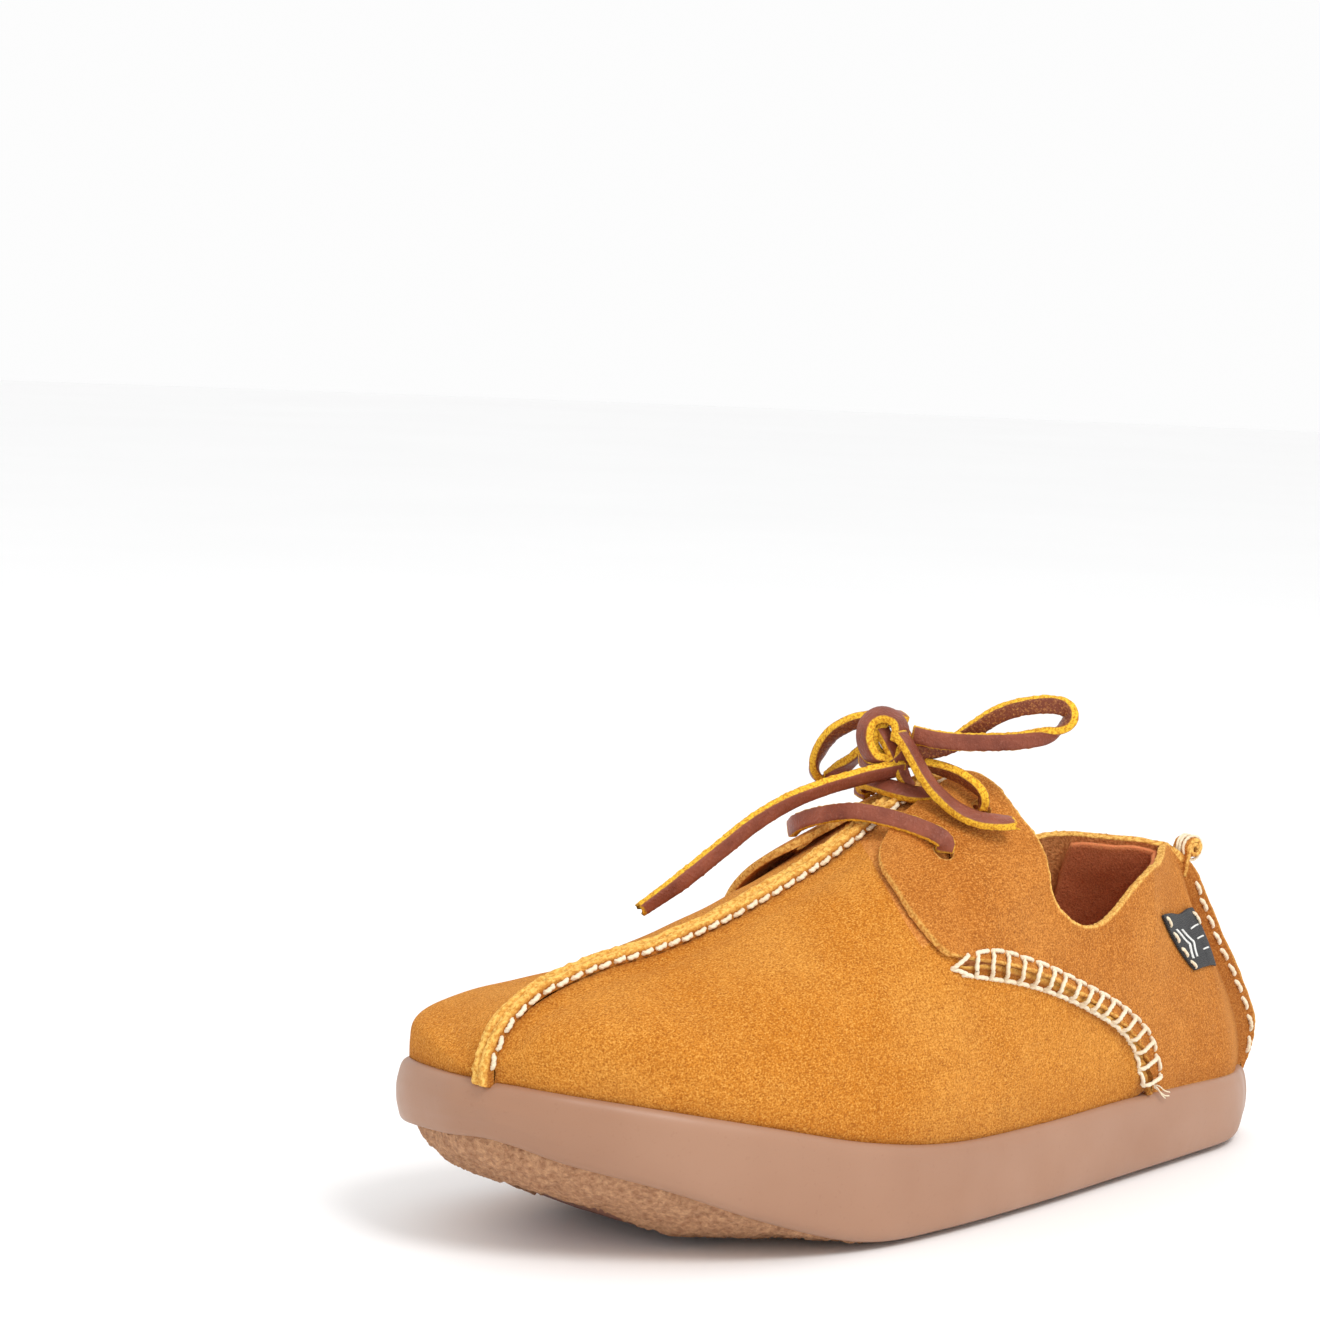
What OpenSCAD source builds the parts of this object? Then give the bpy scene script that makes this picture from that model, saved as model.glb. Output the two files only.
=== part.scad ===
// Centre-seam moccasin, left shoe, men's size 42.
// +X points to the toe, +Y to the outer side, +Z up; the tread rests on z = 0.

/* [Upper] */
// Thickness of the suede
suede_t = 2.0; // [1.6:0.1:2.4]
// Height of the raised edges along the centre seam
ridge_h = 4.0; // [2:0.5:5]
// Height of the raised edges along the heel seam
fin_h = 4.5; // [2:0.5:5]
// Width of one raised seam edge
ridge_w = 2.4; // [1.8:0.1:2.6]
// How far the walls bulge over the sole
bulge = 2.5; // [1:0.5:4]
// Diameter of a punched lace hole
eyelet_d = 6.0; // [5.5:0.5:7]

/* [Sole] */
// Thickness of the crepe tread
tread_t = 2.2; // [1.6:0.1:2.6]
// Depth of the footbed well below the sole's rim
well_depth = 5.0; // [4:0.5:6]
// Thickness of the insole board
board_t = 1.5; // [1:0.1:1.6]
// Thickness of the cork footbed
footbed_t = 5.5; // [4:0.5:6]
// Thickness of the sock liner
liner_t = 1.2; // [0.8:0.1:1.6]

/* [Stitching] */
// Diameter of the waxed thread
thread_d = 1.1; // [0.8:0.1:1.4]
// Stitches along the centre seam
ridge_stitches = 38; // [30:1:44]
// Rungs on each ladder seam
ladder_rungs = 18; // [14:1:20]
// Stitches down the heel seam
heel_stitches = 10; // [8:1:12]

/* [Lace] */
// Width of the leather thong, taken as a round tube
lace_d = 3.8; // [3:0.1:4]

/* [Hidden] */

gap = 0.3;       // clearance between neighbouring soft pieces
seam_y = 5;      // plane of the centre seam and the heel seam
lateral = 1;
medial = -1;

// Sole outline from the toe to the heel: x, y, rim height, underside height.
LATERAL = [[141, 5, 44, 29], [137, 12, 43.5, 28], [127, 23, 42, 24], [107, 37, 38.5, 18], [82, 47, 33.5, 9],
           [52, 50.5, 27, 1], [21, 49, 23, 0], [-18, 43, 22, 0], [-58, 35, 22, 0], [-92, 28, 21, 0],
           [-117, 22, 20, 0], [-132, 12, 19, 0], [-138.5, 5, 18.5, 0]];
MEDIAL = [[141, 5, 44, 29], [143, -8, 44, 28], [135, -34, 42.5, 25], [110, -47.5, 38, 19],
          [84, -50.5, 33.5, 10.5], [52, -49.5, 27, 1], [22, -45, 23, 0], [-18, -36.5, 22, 0],
          [-58, -33, 22, 0], [-95, -33, 21, 0], [-116, -30, 20, 0], [-137, -14, 19, 0], [-138.5, 5, 18.5, 0]];
// Place along TOP that faces each of those stations.
PLACE = [0, 0.6, 2.2, 3.8, 5.1, 7, 9, 11.5, 13.2, 14.5, 15.5, 18.6, 21];
// Profile in the seam plane, x and z: up the toe, over the instep, down the heel.
TOP = [[138, 45], [136.5, 51], [132, 57.5], [123, 63], [107, 67.5], [87, 70.5], [70, 74.5], [53, 80],
       [37, 86], [21, 93.5], [8, 100.5], [-8, 107], [-28, 111], [-52, 110], [-80, 101], [-105, 80.5],
       [-113, 68], [-122, 54], [-130, 43], [-136, 33], [-137.5, 27], [-135.5, 18.7]];
// Suede panels, as stations in the wall's own coordinates: s from toe to heel, v from sole to seam plane.
// Vamp behind the plain toe sections: lower edge s, v; middle s, v; upper edge s, v.
VAMP_BACK = [[0.48, 0, 0.455, 0.45, 0.45, 1], [0.54, 0, 0.475, 0.40, 0.465, 1], [0.60, 0, 0.49, 0.37, 0.48, 1],
             [0.65, 0, 0.50, 0.355, 0.49, 1], [0.688, 0.012, 0.505, 0.35, 0.50, 1],
             [0.677, 0.096, 0.508, 0.355, 0.507, 1], [0.65, 0.155, 0.51, 0.365, 0.515, 1],
             [0.614, 0.22, 0.511, 0.38, 0.523, 1], [0.576, 0.288, 0.512, 0.40, 0.53, 1],
             [0.537, 0.361, 0.512, 0.43, 0.537, 1], [0.513, 0.403, 0.514, 0.50, 0.544, 1],
             [0.52, 0.50, 0.522, 0.72, 0.552, 1], [0.535, 0.61, 0.54, 0.80, 0.562, 1],
             [0.555, 0.71, 0.558, 0.86, 0.573, 1], [0.578, 0.78, 0.58, 0.89, 0.586, 1],
             [0.60, 0.86, 0.601, 0.93, 0.60, 1]];
TOE_SECTIONS = [0.035, 0.07, 0.12, 0.18, 0.25, 0.32, 0.39];
// Quarter: lower edge s, v; upper edge s, v; share of the full lift; share of the heel fin's height.
QUARTER = [[0.568, 0.93, 0.578, 0.935, 1, 0.1], [0.545, 0.91, 0.582, 0.90, 1, 0.1],
           [0.516, 0.88, 0.584, 0.86, 1, 0.1], [0.498, 0.84, 0.586, 0.81, 1, 0.1],
           [0.490, 0.78, 0.587, 0.75, 1, 0.1], [0.488, 0.68, 0.589, 0.68, 1, 0.1],
           [0.490, 0.58, 0.594, 0.61, 1, 0.1], [0.499, 0.47, 0.596, 0.55, 1, 0.1],
           [0.512, 0.42, 0.595, 0.50, 1, 0.1], [0.547, 0.35, 0.597, 0.46, 0.3, 0.1],
           [0.581, 0.286, 0.603, 0.41, 0, 0.1], [0.616, 0.223, 0.615, 0.372, 0, 0.1],
           [0.651, 0.16, 0.632, 0.357, 0, 0.1], [0.678, 0.1, 0.650, 0.372, 0, 0.1],
           [0.693, 0.045, 0.672, 0.43, 0, 0.1], [0.697, 0, 0.700, 0.515, 0, 0.1],
           [0.76, 0, 0.732, 0.61, 0, 0.1], [0.82, 0, 0.758, 0.76, 0, 0.1], [0.87, 0, 0.775, 0.90, 0, 0.1],
           [0.92, 0, 0.79, 1, 0, 0.25], [0.95, 0, 0.86, 1, 0, 1], [0.975, 0, 0.93, 1, 0, 1],
           [0.993, 0, 0.985, 1, 0, 1]];
// How much further forward the medial facing reaches, in s.
medial_reach = 0.016;
// The inner quarter's collar stands higher behind the ankle.
medial_rise = 0.07;
// Heel lining: lower edge s, v; upper edge s, v.
LINING = [[0.725, 0.12, 0.715, 0.49], [0.78, 0.08, 0.742, 0.59], [0.84, 0.06, 0.765, 0.73],
          [0.89, 0.05, 0.782, 0.86], [0.93, 0.05, 0.81, 0.9], [0.955, 0.06, 0.87, 0.88],
          [0.972, 0.1, 0.93, 0.88]];
// Ladder seam: its upper and lower rows of holes, s and v.
LADDER_UP = [[0.512, 0.42], [0.542, 0.387], [0.568, 0.334], [0.594, 0.285], [0.619, 0.243], [0.645, 0.205],
             [0.67, 0.166], [0.695, 0.114], [0.711, 0.03]];
LADDER_LOW = [[0.513, 0.375], [0.539, 0.325], [0.563, 0.284], [0.586, 0.246], [0.609, 0.211], [0.631, 0.176],
              [0.653, 0.139], [0.673, 0.088], [0.686, 0.015]];
// Lace holes in the facings, s and v, and the label's corners on the outer quarter.
EYELETS = [[0.532, 0.698], [0.568, 0.753]];
LABEL = [[0.715, 0.41], [0.769, 0.342], [0.815, 0.64], [0.835, 0.43]];

// Lace routes in mm.
LOWER_BAR = [[8.8, 26.6, 93.4], [9.8, 27.2, 96.2], [12.5, 21.5, 98.6], [17, 13, 100.6], [21, 5, 101.2],
             [24, -4, 99.2], [24.5, -11, 96.6], [21.5, -17, 93.8]];
UPPER_BAR = [[-9.2, 22, 102.8], [-8.4, 22.6, 106.4], [-7, 17.5, 109.6], [-5, 12, 111.4], [-2, 5, 112.4],
             [-3, -3, 111], [-3, -9, 107.5], [-1.6, -13, 103.6]];
LOOP_REAR = [[2, 6.5, 120.5], [-2, 13, 119.5], [-8, 20, 119.5], [-14, 27, 120.3], [-19, 33, 122],
             [-22, 36.8, 124.6], [-23, 38.6, 127.8], [-21.4, 36, 130.2], [-17.5, 29, 129.6], [-13.5, 22, 126.8],
             [-10.5, 16, 122], [-7.5, 12.5, 118.5], [-3.5, 9, 116.5], [0.5, 6, 115.5]];
LOOP_FRONT = [[6, -5, 123.5], [8, -10, 122], [9, -16, 118.5], [8, -21.5, 113.5], [6, -25.5, 108],
             [3, -26.8, 104.8], [1, -24.6, 105.2], [1, -19.5, 109], [2, -13, 113], [3, -7.5, 116.5]];
TAIL_LONG = [[4, 5.6, 111.8], [10.5, 3.2, 110.6], [18, 0.5, 108.8], [26, -1, 107], [36, -2, 104.2], [46, -4, 99.3],
             [56, -7, 91.8], [66, -10, 84.2], [76, -13, 77.5]];
TAIL_SHORT = [[7.4, 6.8, 121], [6.8, 9.2, 118.4], [5.8, 11.6, 114.6], [4.6, 14.4, 110.2], [3.6, 18, 106.6],
             [1.5, 23.3, 102.8], [-2.6, 27, 100.6], [-7.5, 29.5, 99.9], [-12.3, 30.2, 99.6]];
KNOT = [5, 0, 120];

// ---- Curves ----
function extend(p) = concat([2 * p[0] - p[1]], p, [2 * p[len(p) - 1] - p[len(p) - 2]]);
function cubic(a, b, c, d, u) =
    0.5 * (2 * b + (c - a) * u + (2 * a - 5 * b + 4 * c - d) * u * u + (3 * b - a - 3 * c + d) * u * u * u);
function span(e, t) = max(0, min(floor(t), len(e) - 4));
function along(e, t) = let (i = span(e, t)) cubic(e[i], e[i + 1], e[i + 2], e[i + 3], t - i);
function unit(a) = a / max(norm(a), 0.000001);
function mix(a, b, t) = a * (1 - t) + b * t;
function clip(x) = max(0, min(1, x));

last_st = len(LATERAL) - 1;
OUTLINE = [concat([MEDIAL[1]], LATERAL, [MEDIAL[last_st - 1]]), concat([LATERAL[1]], MEDIAL, [LATERAL[last_st - 1]])];
PLACES = extend(PLACE);
TOPS = extend(TOP);
function sole_at(side, s) = along(OUTLINE[side > 0 ? 0 : 1], s * last_st);
function plan(p) = [p.x, p.y];
function outward(side, s) =
    let (e = 0.002, t = unit(plan(sole_at(side, s + e)) - plan(sole_at(side, s - e)))) side * [t.y, -t.x];
function top_at(tau) = let (p = along(TOPS, tau)) [p.x, seam_y, p.y];
function top_normal(tau) = let (t = unit(top_at(tau + 0.02) - top_at(tau - 0.02))) [-t.z, 0, t.x] * -1;

// ---- The wall of the upper: a cubic from the sole's rim up and over to the seam plane ----
rim_inset = 2.5;
foot_gap = 0.8;
// Toe: a fuller shoulder, a roof that falls away from the seam, and a foot set further in.
toe_full = 1.5;
toe_round = 0.25;
toe_droop = 0.5;
toe_inset = 1.5;
// Heel: the two sides meet in a keel, flatter than the rest of the wall.
heel_keel = 1.6;
heel_flat = 0.8;
heel_tuck = 0.25;
// Shares of the way round where each of those shapes fades out.
toe_share = 0.3;
roof_full = 0.1;
roof_share = 0.45;
inset_share = 0.12;
// Places where the heel's own shape begins, and how many places it takes to take over.
heel_from = 13.8;
heel_places = 1.2;
// Shares of the climb and of the way across used by the wall's two inner control points.
climb_share = 0.55;
climb_heel = 0.15;
reach_share = 0.6;
droop_share = 0.7;
// Wall height from which the bulge is at its full size.
full_height = 30;
function wall(side, s, v) =
    let (t = clip(s), q = sole_at(side, t), n = outward(side, t), tau = along(PLACES, t * last_st),
         toe = clip(1 - t / toe_share), heel = clip((tau - heel_from) / heel_places),
         roof = toe_droop * clip((roof_share - t) / (roof_share - roof_full)),
         inset = rim_inset + toe_inset * clip(1 - t / inset_share),
         foot = [q.x - n.x * inset, q.y - n.y * inset, q.z + foot_gap], head = top_at(tau),
         climb = max(head.z - foot.z, 0), rise = climb * (climb_share + toe_full * toe - climb_heel * heel),
         out = bulge * min(1, norm(head - foot) / full_height) * (1 - heel_flat * heel),
         reach = abs(foot.y - head.y) * (reach_share + toe_round * toe - heel_tuck * heel),
         a = foot + [n.x * out, n.y * out, rise],
         b = head + [reach * heel_keel * heel, side * reach, -min(reach * roof, climb * droop_share)], u = 1 - v)
    u * u * u * foot + 3 * u * u * v * a + 3 * u * v * v * b + v * v * v * head;
function wall_normal(side, s, v) =
    let (e = 0.004, ds = wall(side, min(s + e, 1), v) - wall(side, max(s - e, 0), v),
         dv = wall(side, s, min(v + e, 1)) - wall(side, s, max(v - e, 0)))
    side * unit(cross(ds, dv));
function on_wall(side, s, v, off) = wall(side, s, v) + off * wall_normal(side, s, v);
function off_seam(side, p, least) = [p.x, seam_y + side * max(side * (p.y - seam_y), least), p.z];

// ---- Solids from closed loops of points ----
// Every loop runs out along one face and back along the other; the ends are closed by strips.
module loft(loops, flip) {
    m = len(loops);
    k = len(loops[0]);
    half = k / 2;
    points = [for (l = loops) for (p = l) p];
    sides = [for (i = [0:m - 2]) for (j = [0:k - 1]) let (n = (j + 1) % k, a = i * k + j, b = i * k + n,
             c = a + k, d = b + k) for (t = [[a, b, c], [b, d, c]]) t];
    caps = [for (e = [0, 1]) let (o = e * (m - 1) * k) for (j = [0:half - 2]) let (a = o + j, b = o + j + 1,
            c = o + k - 1 - j, d = o + k - 2 - j) for (t = [[a, c, b], [b, c, d]])
            e == 0 ? t : [t[0], t[2], t[1]]];
    faces = concat(sides, caps);
    polyhedron(points, flip ? [for (f = faces) [f[0], f[2], f[1]]] : faces, convexity = 10);
}

// A suede panel: rows(i) give points of the outer face from the lower to the upper edge.
columns = 11;
function panel_loop(side, path, lift, rim, least_out, least_in) =
    let (outer = [for (p = path) off_seam(side, on_wall(side, p[0], p[1], lift), least_out)],
         inner = [for (p = path) off_seam(side, on_wall(side, p[0], p[1], lift - suede_t), least_in)],
         last = len(path) - 1)
    concat(outer, [off_seam(side, outer[last] + rim, least_out)], [off_seam(side, inner[last] + rim, least_in)],
            [for (j = [last:-1:0]) inner[j]]);

// ---- Vamp halves, with the raised edge of the centre seam ----
VAMP = extend(concat([for (s = TOE_SECTIONS) [s, 0, s, 0.5, s, 1]], VAMP_BACK));
vamp_rows = 46;
function vamp_path(row) = [for (j = [0:columns]) let (w = j / columns, a = (1 - w) * (1 - 2 * w),
    b = 4 * w * (1 - w), c = w * (2 * w - 1)) [row[0] * a + row[2] * b + row[4] * c,
    clip(row[1] * a + row[3] * b + row[5] * c)]];
function vamp_loop(side, t) =
    let (row = along(VAMP, t), rim = top_normal(along(PLACES, row[4] * last_st)) * ridge_h)
    panel_loop(side, vamp_path(row), 0, rim, ridge_w, gap / 2);
module vamp(side) {
    steps = len(VAMP) - 3;
    loft([for (i = [0:vamp_rows]) vamp_loop(side, steps * i / vamp_rows)], side < 0);
}
module vamp_lateral() { color([0.87, 0.57, 0.22]) vamp(lateral); }
module vamp_medial() { color([0.84, 0.55, 0.23]) vamp(medial); }

// ---- Quarters, with the facing lying over the vamp and the raised edge of the heel seam ----
QUARTERS = extend(QUARTER);
quarter_rows = 48;
facing_lift = suede_t + gap;
function quarter_loop(side, t) =
    let (row = along(QUARTERS, t), lift = facing_lift * clip(row[4]),
         reach = side < 0 ? medial_reach * clip(2.5 * row[4] - 1.5) : 0,
         high = row[3] + (side < 0 ? medial_rise * lookup(t, [[14, 0], [16, 1], [17.5, 1], [19, 0]]) : 0),
         path = [for (j = [0:columns]) let (w = j / columns) [mix(row[0] - reach, row[2], w),
                 clip(mix(row[1], high, w))]],
         a = wall(side, path[columns - 1][0], path[columns - 1][1]),
         b = wall(side, path[columns][0], path[columns][1]),
         seam = clip((row[5] - 0.2) / 0.6),
         dir = unit(mix(unit(b - a), top_normal(along(PLACES, row[2] * last_st)), seam)))
    panel_loop(side, path, lift, dir * fin_h * clip(row[5]), mix(gap / 2, ridge_w, seam), gap / 2);
module eyelet_hole(side, place) {
    s = place[0] - (side < 0 ? medial_reach : 0);
    p = wall(side, s, place[1]);
    n = wall_normal(side, s, place[1]);
    translate(p + n * (facing_lift - 1)) rod([0, 0, 0], n * 4, eyelet_d);
}
module quarter(side) {
    steps = len(QUARTER) - 1;
    difference() {
        loft([for (i = [0:quarter_rows]) quarter_loop(side, steps * i / quarter_rows)], side < 0);
        for (place = EYELETS) eyelet_hole(side, place);
    }
}
module quarter_lateral() { color([0.80, 0.49, 0.23]) quarter(lateral); }
module quarter_medial() { color([0.80, 0.49, 0.23]) quarter(medial); }

// A round bar between two points.
module rod(a, b, d) {
    v = b - a;
    translate(a) rotate([0, acos(v.z / norm(v)), atan2(v.y, v.x)]) cylinder(d = d, h = norm(v), $fn = 20);
}

// ---- Heel lining and label: thin patches that follow the wall ----
LININGS = extend(LINING);
function patch_loop(side, path, off, t, least) =
    concat([for (p = path) off_seam(side, on_wall(side, p[0], p[1], off), least)],
           [for (j = [len(path) - 1:-1:0]) off_seam(side, on_wall(side, path[j][0], path[j][1], off - t), least)]);
lining_t = 1.2;
lining_gap = 0.8;
module lining_half(side) {
    steps = len(LINING) - 1;
    rows = 14;
    cols = 8;
    loft([for (i = [0:rows]) let (r = along(LININGS, steps * i / rows))
          patch_loop(side, [for (j = [0:cols]) [mix(r[0], r[2], j / cols), mix(r[1], r[3], j / cols)]],
                     -suede_t - lining_gap, lining_t, gap / 2)], side < 0);
}
module heel_lining() { color([0.54, 0.27, 0.16]) { lining_half(lateral); lining_half(medial); } }

label_t = 0.8;
module woven_label() {
    rows = 6;
    cols = 5;
    color([0.08, 0.08, 0.09])
        loft([for (i = [0:rows]) let (lo = mix(LABEL[1], LABEL[3], i / rows), hi = mix(LABEL[0], LABEL[2], i / rows))
              patch_loop(lateral, [for (j = [0:cols]) mix(lo, hi, j / cols)], label_t + gap, label_t, ridge_w + gap)],
             false);
}

// A roll of suede tied over the top of the heel seam.
curl_d = 6;
curl_len = 6;
curl_place = 15.1;
curl_at = top_at(curl_place) + top_normal(curl_place) * (curl_d / 2 + 2.7);
module heel_curl() {
    color([0.72, 0.42, 0.20]) translate(curl_at) rotate([90, 0, 0]) rotate_extrude($fn = 28)
        polygon([[0, -curl_len / 2], [curl_d / 2 - 0.8, -curl_len / 2], [curl_d / 2, -curl_len / 2 + 0.8],
                 [curl_d / 2, curl_len / 2 - 0.8], [curl_d / 2 - 0.8, curl_len / 2], [0, curl_len / 2]]);
}

// ---- Sole ----
sole_steps = 36;
// One closed ring round the sole; each point is the rim or the underside moved in and up.
function sole_point(side, s, inset, k, dz) =
    let (q = sole_at(side, s), n = outward(side, s), low = max(q[3], 0))
    [q.x - n.x * inset, q.y - n.y * inset, low + (q.z - low) * k + dz];
function sole_ring(p) = concat([for (i = [0:sole_steps]) sole_point(lateral, i / sole_steps, p[0], p[1], p[2])],
    [for (i = [sole_steps - 1:-1:1]) sole_point(medial, i / sole_steps, p[0], p[1], p[2])]);
// A solid of stacked rings, closed by a strip across its first and its last ring.
module rings(profile) {
    k = 2 * sole_steps;
    m = len(profile);
    points = [for (p = profile) for (q = sole_ring(p)) q];
    sides = [for (i = [0:m - 2]) for (j = [0:k - 1]) let (n = (j + 1) % k, a = i * k + j, b = i * k + n)
             for (t = [[a, a + k, b], [b, a + k, b + k]]) t];
    caps = [for (e = [0, 1]) let (o = e * (m - 1) * k) for (j = [0:sole_steps - 1]) let (a = o + j, b = o + j + 1,
            c = o + (k - j) % k, d = o + k - j - 1) for (t = concat(j > 0 ? [[a, b, c]] : [],
            j < sole_steps - 1 ? [[b, d, c]] : [])) e == 0 ? t : [t[0], t[2], t[1]]];
    polyhedron(points, concat(sides, caps), convexity = 6);
}
// Inset from the outline, share of the height, and step up or down, from the underside's middle round to the well.
SIDEWALL = [[4.6, 0, 2.5], [4.2, 0, 1.0], [2.4, 0, 0.9], [0.7, 0, 2.4], [-0.2, 0, 6], [-0.5, 0.5, 0],
            [0, 1, -4], [0.5, 1, -1.6], [1.6, 1, -0.2], [3, 1, 0], [6.4, 1, 0], [7, 1, -well_depth]];
module sole_sidewall() { color([0.73, 0.56, 0.46]) rings(SIDEWALL); }

// Smooth panel under the forefoot, as a lens between the two sides of the outline.
panel_s = 0.315;
panel_reach = 0.115;
panel_share = 0.27;
panel_inset = 4.6;
recess = 1;
function panel_edge(u, sign, grow) =
    let (s = panel_s + u * panel_reach * grow, a = sole_point(lateral, s, panel_inset, 0, 0),
         b = sole_point(medial, s, panel_inset, 0, 0))
    mix(a, b, 0.5 + sign * panel_share * grow * sqrt(1 - u * u));
panel_steps = 16;
PANEL_U = [for (i = [0:panel_steps]) sin(80 * (2 * i / panel_steps - 1))];
// The underside's middle hangs below its edges under the toe: share of the height, along the sole.
TREAD_DROP = [[0, 0], [0.15, 0.25], [0.24, 0.5], [0.30, 0.85], [0.36, 0.92], [1, 0.92]];
tread_inset = 5;
function under_point(s, f, inset, dz) =
    let (p = mix(sole_point(lateral, s, inset, 0, 0), sole_point(medial, s, inset, 0, 0), f),
         drop = lookup(s, TREAD_DROP) * (1 - pow(2 * f - 1, 4))) [p.x, p.y, p.z * (1 - drop) + dz];
function over_point(s, f, inset, dz) =
    mix(sole_point(lateral, s, inset, 0, dz), sole_point(medial, s, inset, 0, dz), f);
module crepe_tread() {
    cols = 10;
    color([0.72, 0.53, 0.40]) difference() {
        loft([for (i = [0:sole_steps]) let (s = max(0.004, min(0.996, i / sole_steps)))
              concat([for (j = [0:cols]) under_point(s, j / cols, tread_inset, 0)],
                     [for (j = [cols:-1:0]) over_point(s, j / cols, tread_inset, tread_t - 0.4)])], true);
        translate([0, 0, -5]) linear_extrude(60)
            polygon([for (i = [0:panel_steps]) plan(panel_edge(PANEL_U[i], -1, 1.03)),
                     for (i = [panel_steps:-1:0]) plan(panel_edge(PANEL_U[i], 1, 1.03))]);
    }
}
module forefoot_panel() {
    cols = 4;
    color([0.42, 0.25, 0.17]) loft([for (u = PANEL_U) let (s = panel_s + u * panel_reach,
        half = panel_share * sqrt(1 - u * u))
        concat([for (j = [0:cols]) over_point(s, 0.5 + half * (2 * j / cols - 1), panel_inset, tread_t - 0.4)],
               [for (j = [cols:-1:0]) under_point(s, 0.5 + half * (2 * j / cols - 1), panel_inset, recess)])], false);
}
board_z = -well_depth + gap;
footbed_z = board_z + board_t + gap;
liner_z = footbed_z + footbed_t + gap;
module insole_board() { color([0.80, 0.70, 0.52]) rings([[7.4, 1, board_z], [7.4, 1, board_z + board_t]]); }
module cork_footbed() {
    color([0.70, 0.52, 0.34])
        rings([[7.6, 1, footbed_z], [7.6, 1, footbed_z + footbed_t - 1.5], [9, 1, footbed_z + footbed_t]]);
}
module sock_liner() { color([0.62, 0.36, 0.20]) rings([[9, 1, liner_z], [9, 1, liner_z + liner_t]]); }

// ---- Stitching ----
// Running length along the seam plane, as a table from length to place.
function run_length(p) = [for (i = 0, d = 0; i < len(p); i = i + 1, d = i < len(p) ? d + norm(p[i] - p[i - 1]) : d) d];
function seam_table(from, to) = let (tau = [for (i = [0:120]) from + (to - from) * i / 120],
    d = run_length([for (t = tau) top_at(t)])) [for (i = [0:120]) [d[i], tau[i]]];
module seam_stitches(from, to, count, fill, height) {
    table = seam_table(from, to);
    pitch = table[120][0] / count;
    side_y = ridge_w + thread_d / 2 + 0.2;
    for (side = [lateral, medial]) for (i = [0:count - 1]) {
        a = lookup((i + 0.5 - fill / 2) * pitch, table);
        b = lookup((i + 0.5 + fill / 2) * pitch, table);
        rod(top_at(a) + top_normal(a) * height + [0, side * side_y, 0],
            top_at(b) + top_normal(b) * height + [0, side * side_y, 0], thread_d);
    }
}
thread_colour = [0.93, 0.88, 0.76];
module thread_centre_seam() { color(thread_colour) seam_stitches(0.6, 11.6, ridge_stitches, 0.7, 1.7); }
module thread_heel_seam() { color(thread_colour) seam_stitches(15.55, 20.6, heel_stitches, 0.6, 1.7); }

LADDER_TOP = extend(LADDER_UP);
LADDER_FOOT = extend(LADDER_LOW);
ladder_steps = len(LADDER_UP) - 1;
function ladder_lift(t) = lookup(t, [[0, 1], [0.2, 0.7], [0.3, 0.4], [0.4, 0.05], [0.42, 0]]);
function ladder_hole(side, row, t, lifted) =
    let (p = along(row, t * ladder_steps), k = ladder_lift(t) * lifted)
    on_wall(side, p[0] - (side < 0 ? medial_reach * clip(2.5 * ladder_lift(t) - 1.5) : 0), p[1],
            0.4 + thread_d / 2 + facing_lift * k);
module stitch(a, b, trim) { rod(mix(a, b, trim), mix(a, b, 1 - trim), thread_d); }
module ladder(side) {
    for (i = [0:ladder_rungs - 1]) {
        t = i / (ladder_rungs - 1);
        up = ladder_hole(side, LADDER_TOP, t, 1);
        low = ladder_hole(side, LADDER_FOOT, t, 0.6);
        stitch(up, low, 0.1);
        if (i < ladder_rungs - 1) {
            next = (i + 1) / (ladder_rungs - 1);
            stitch(up, ladder_hole(side, LADDER_TOP, next, 1), 0.2);
            stitch(low, ladder_hole(side, LADDER_FOOT, next, 0.6), 0.2);
        }
    }
}
module thread_ladder_lateral() { color(thread_colour) ladder(lateral); }
module thread_ladder_medial() { color(thread_colour) ladder(medial); }

label_stitches = 4;
module thread_label() {
    d = 0.8;
    lift = label_t + gap + 0.2 + d / 2;
    color(thread_colour) for (i = [0:label_stitches - 1]) {
        a = mix(mix(LABEL[0], LABEL[1], (i + 0.2) / label_stitches), LABEL[2], 0.08);
        b = mix(mix(LABEL[0], LABEL[1], (i + 0.8) / label_stitches), LABEL[2], 0.08);
        rod(on_wall(lateral, a[0], a[1], lift), on_wall(lateral, b[0], b[1], lift), d);
    }
}
module thread_heel_curl() {
    d = 0.9;
    color(thread_colour) for (k = [-1, 1]) translate(curl_at + [0, k * 1.2, 0]) rotate([90, 0, 0])
        rotate_extrude($fn = 32) translate([curl_d / 2 + 0.05 + d / 2, 0]) circle(d = d, $fn = 16);
}

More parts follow.
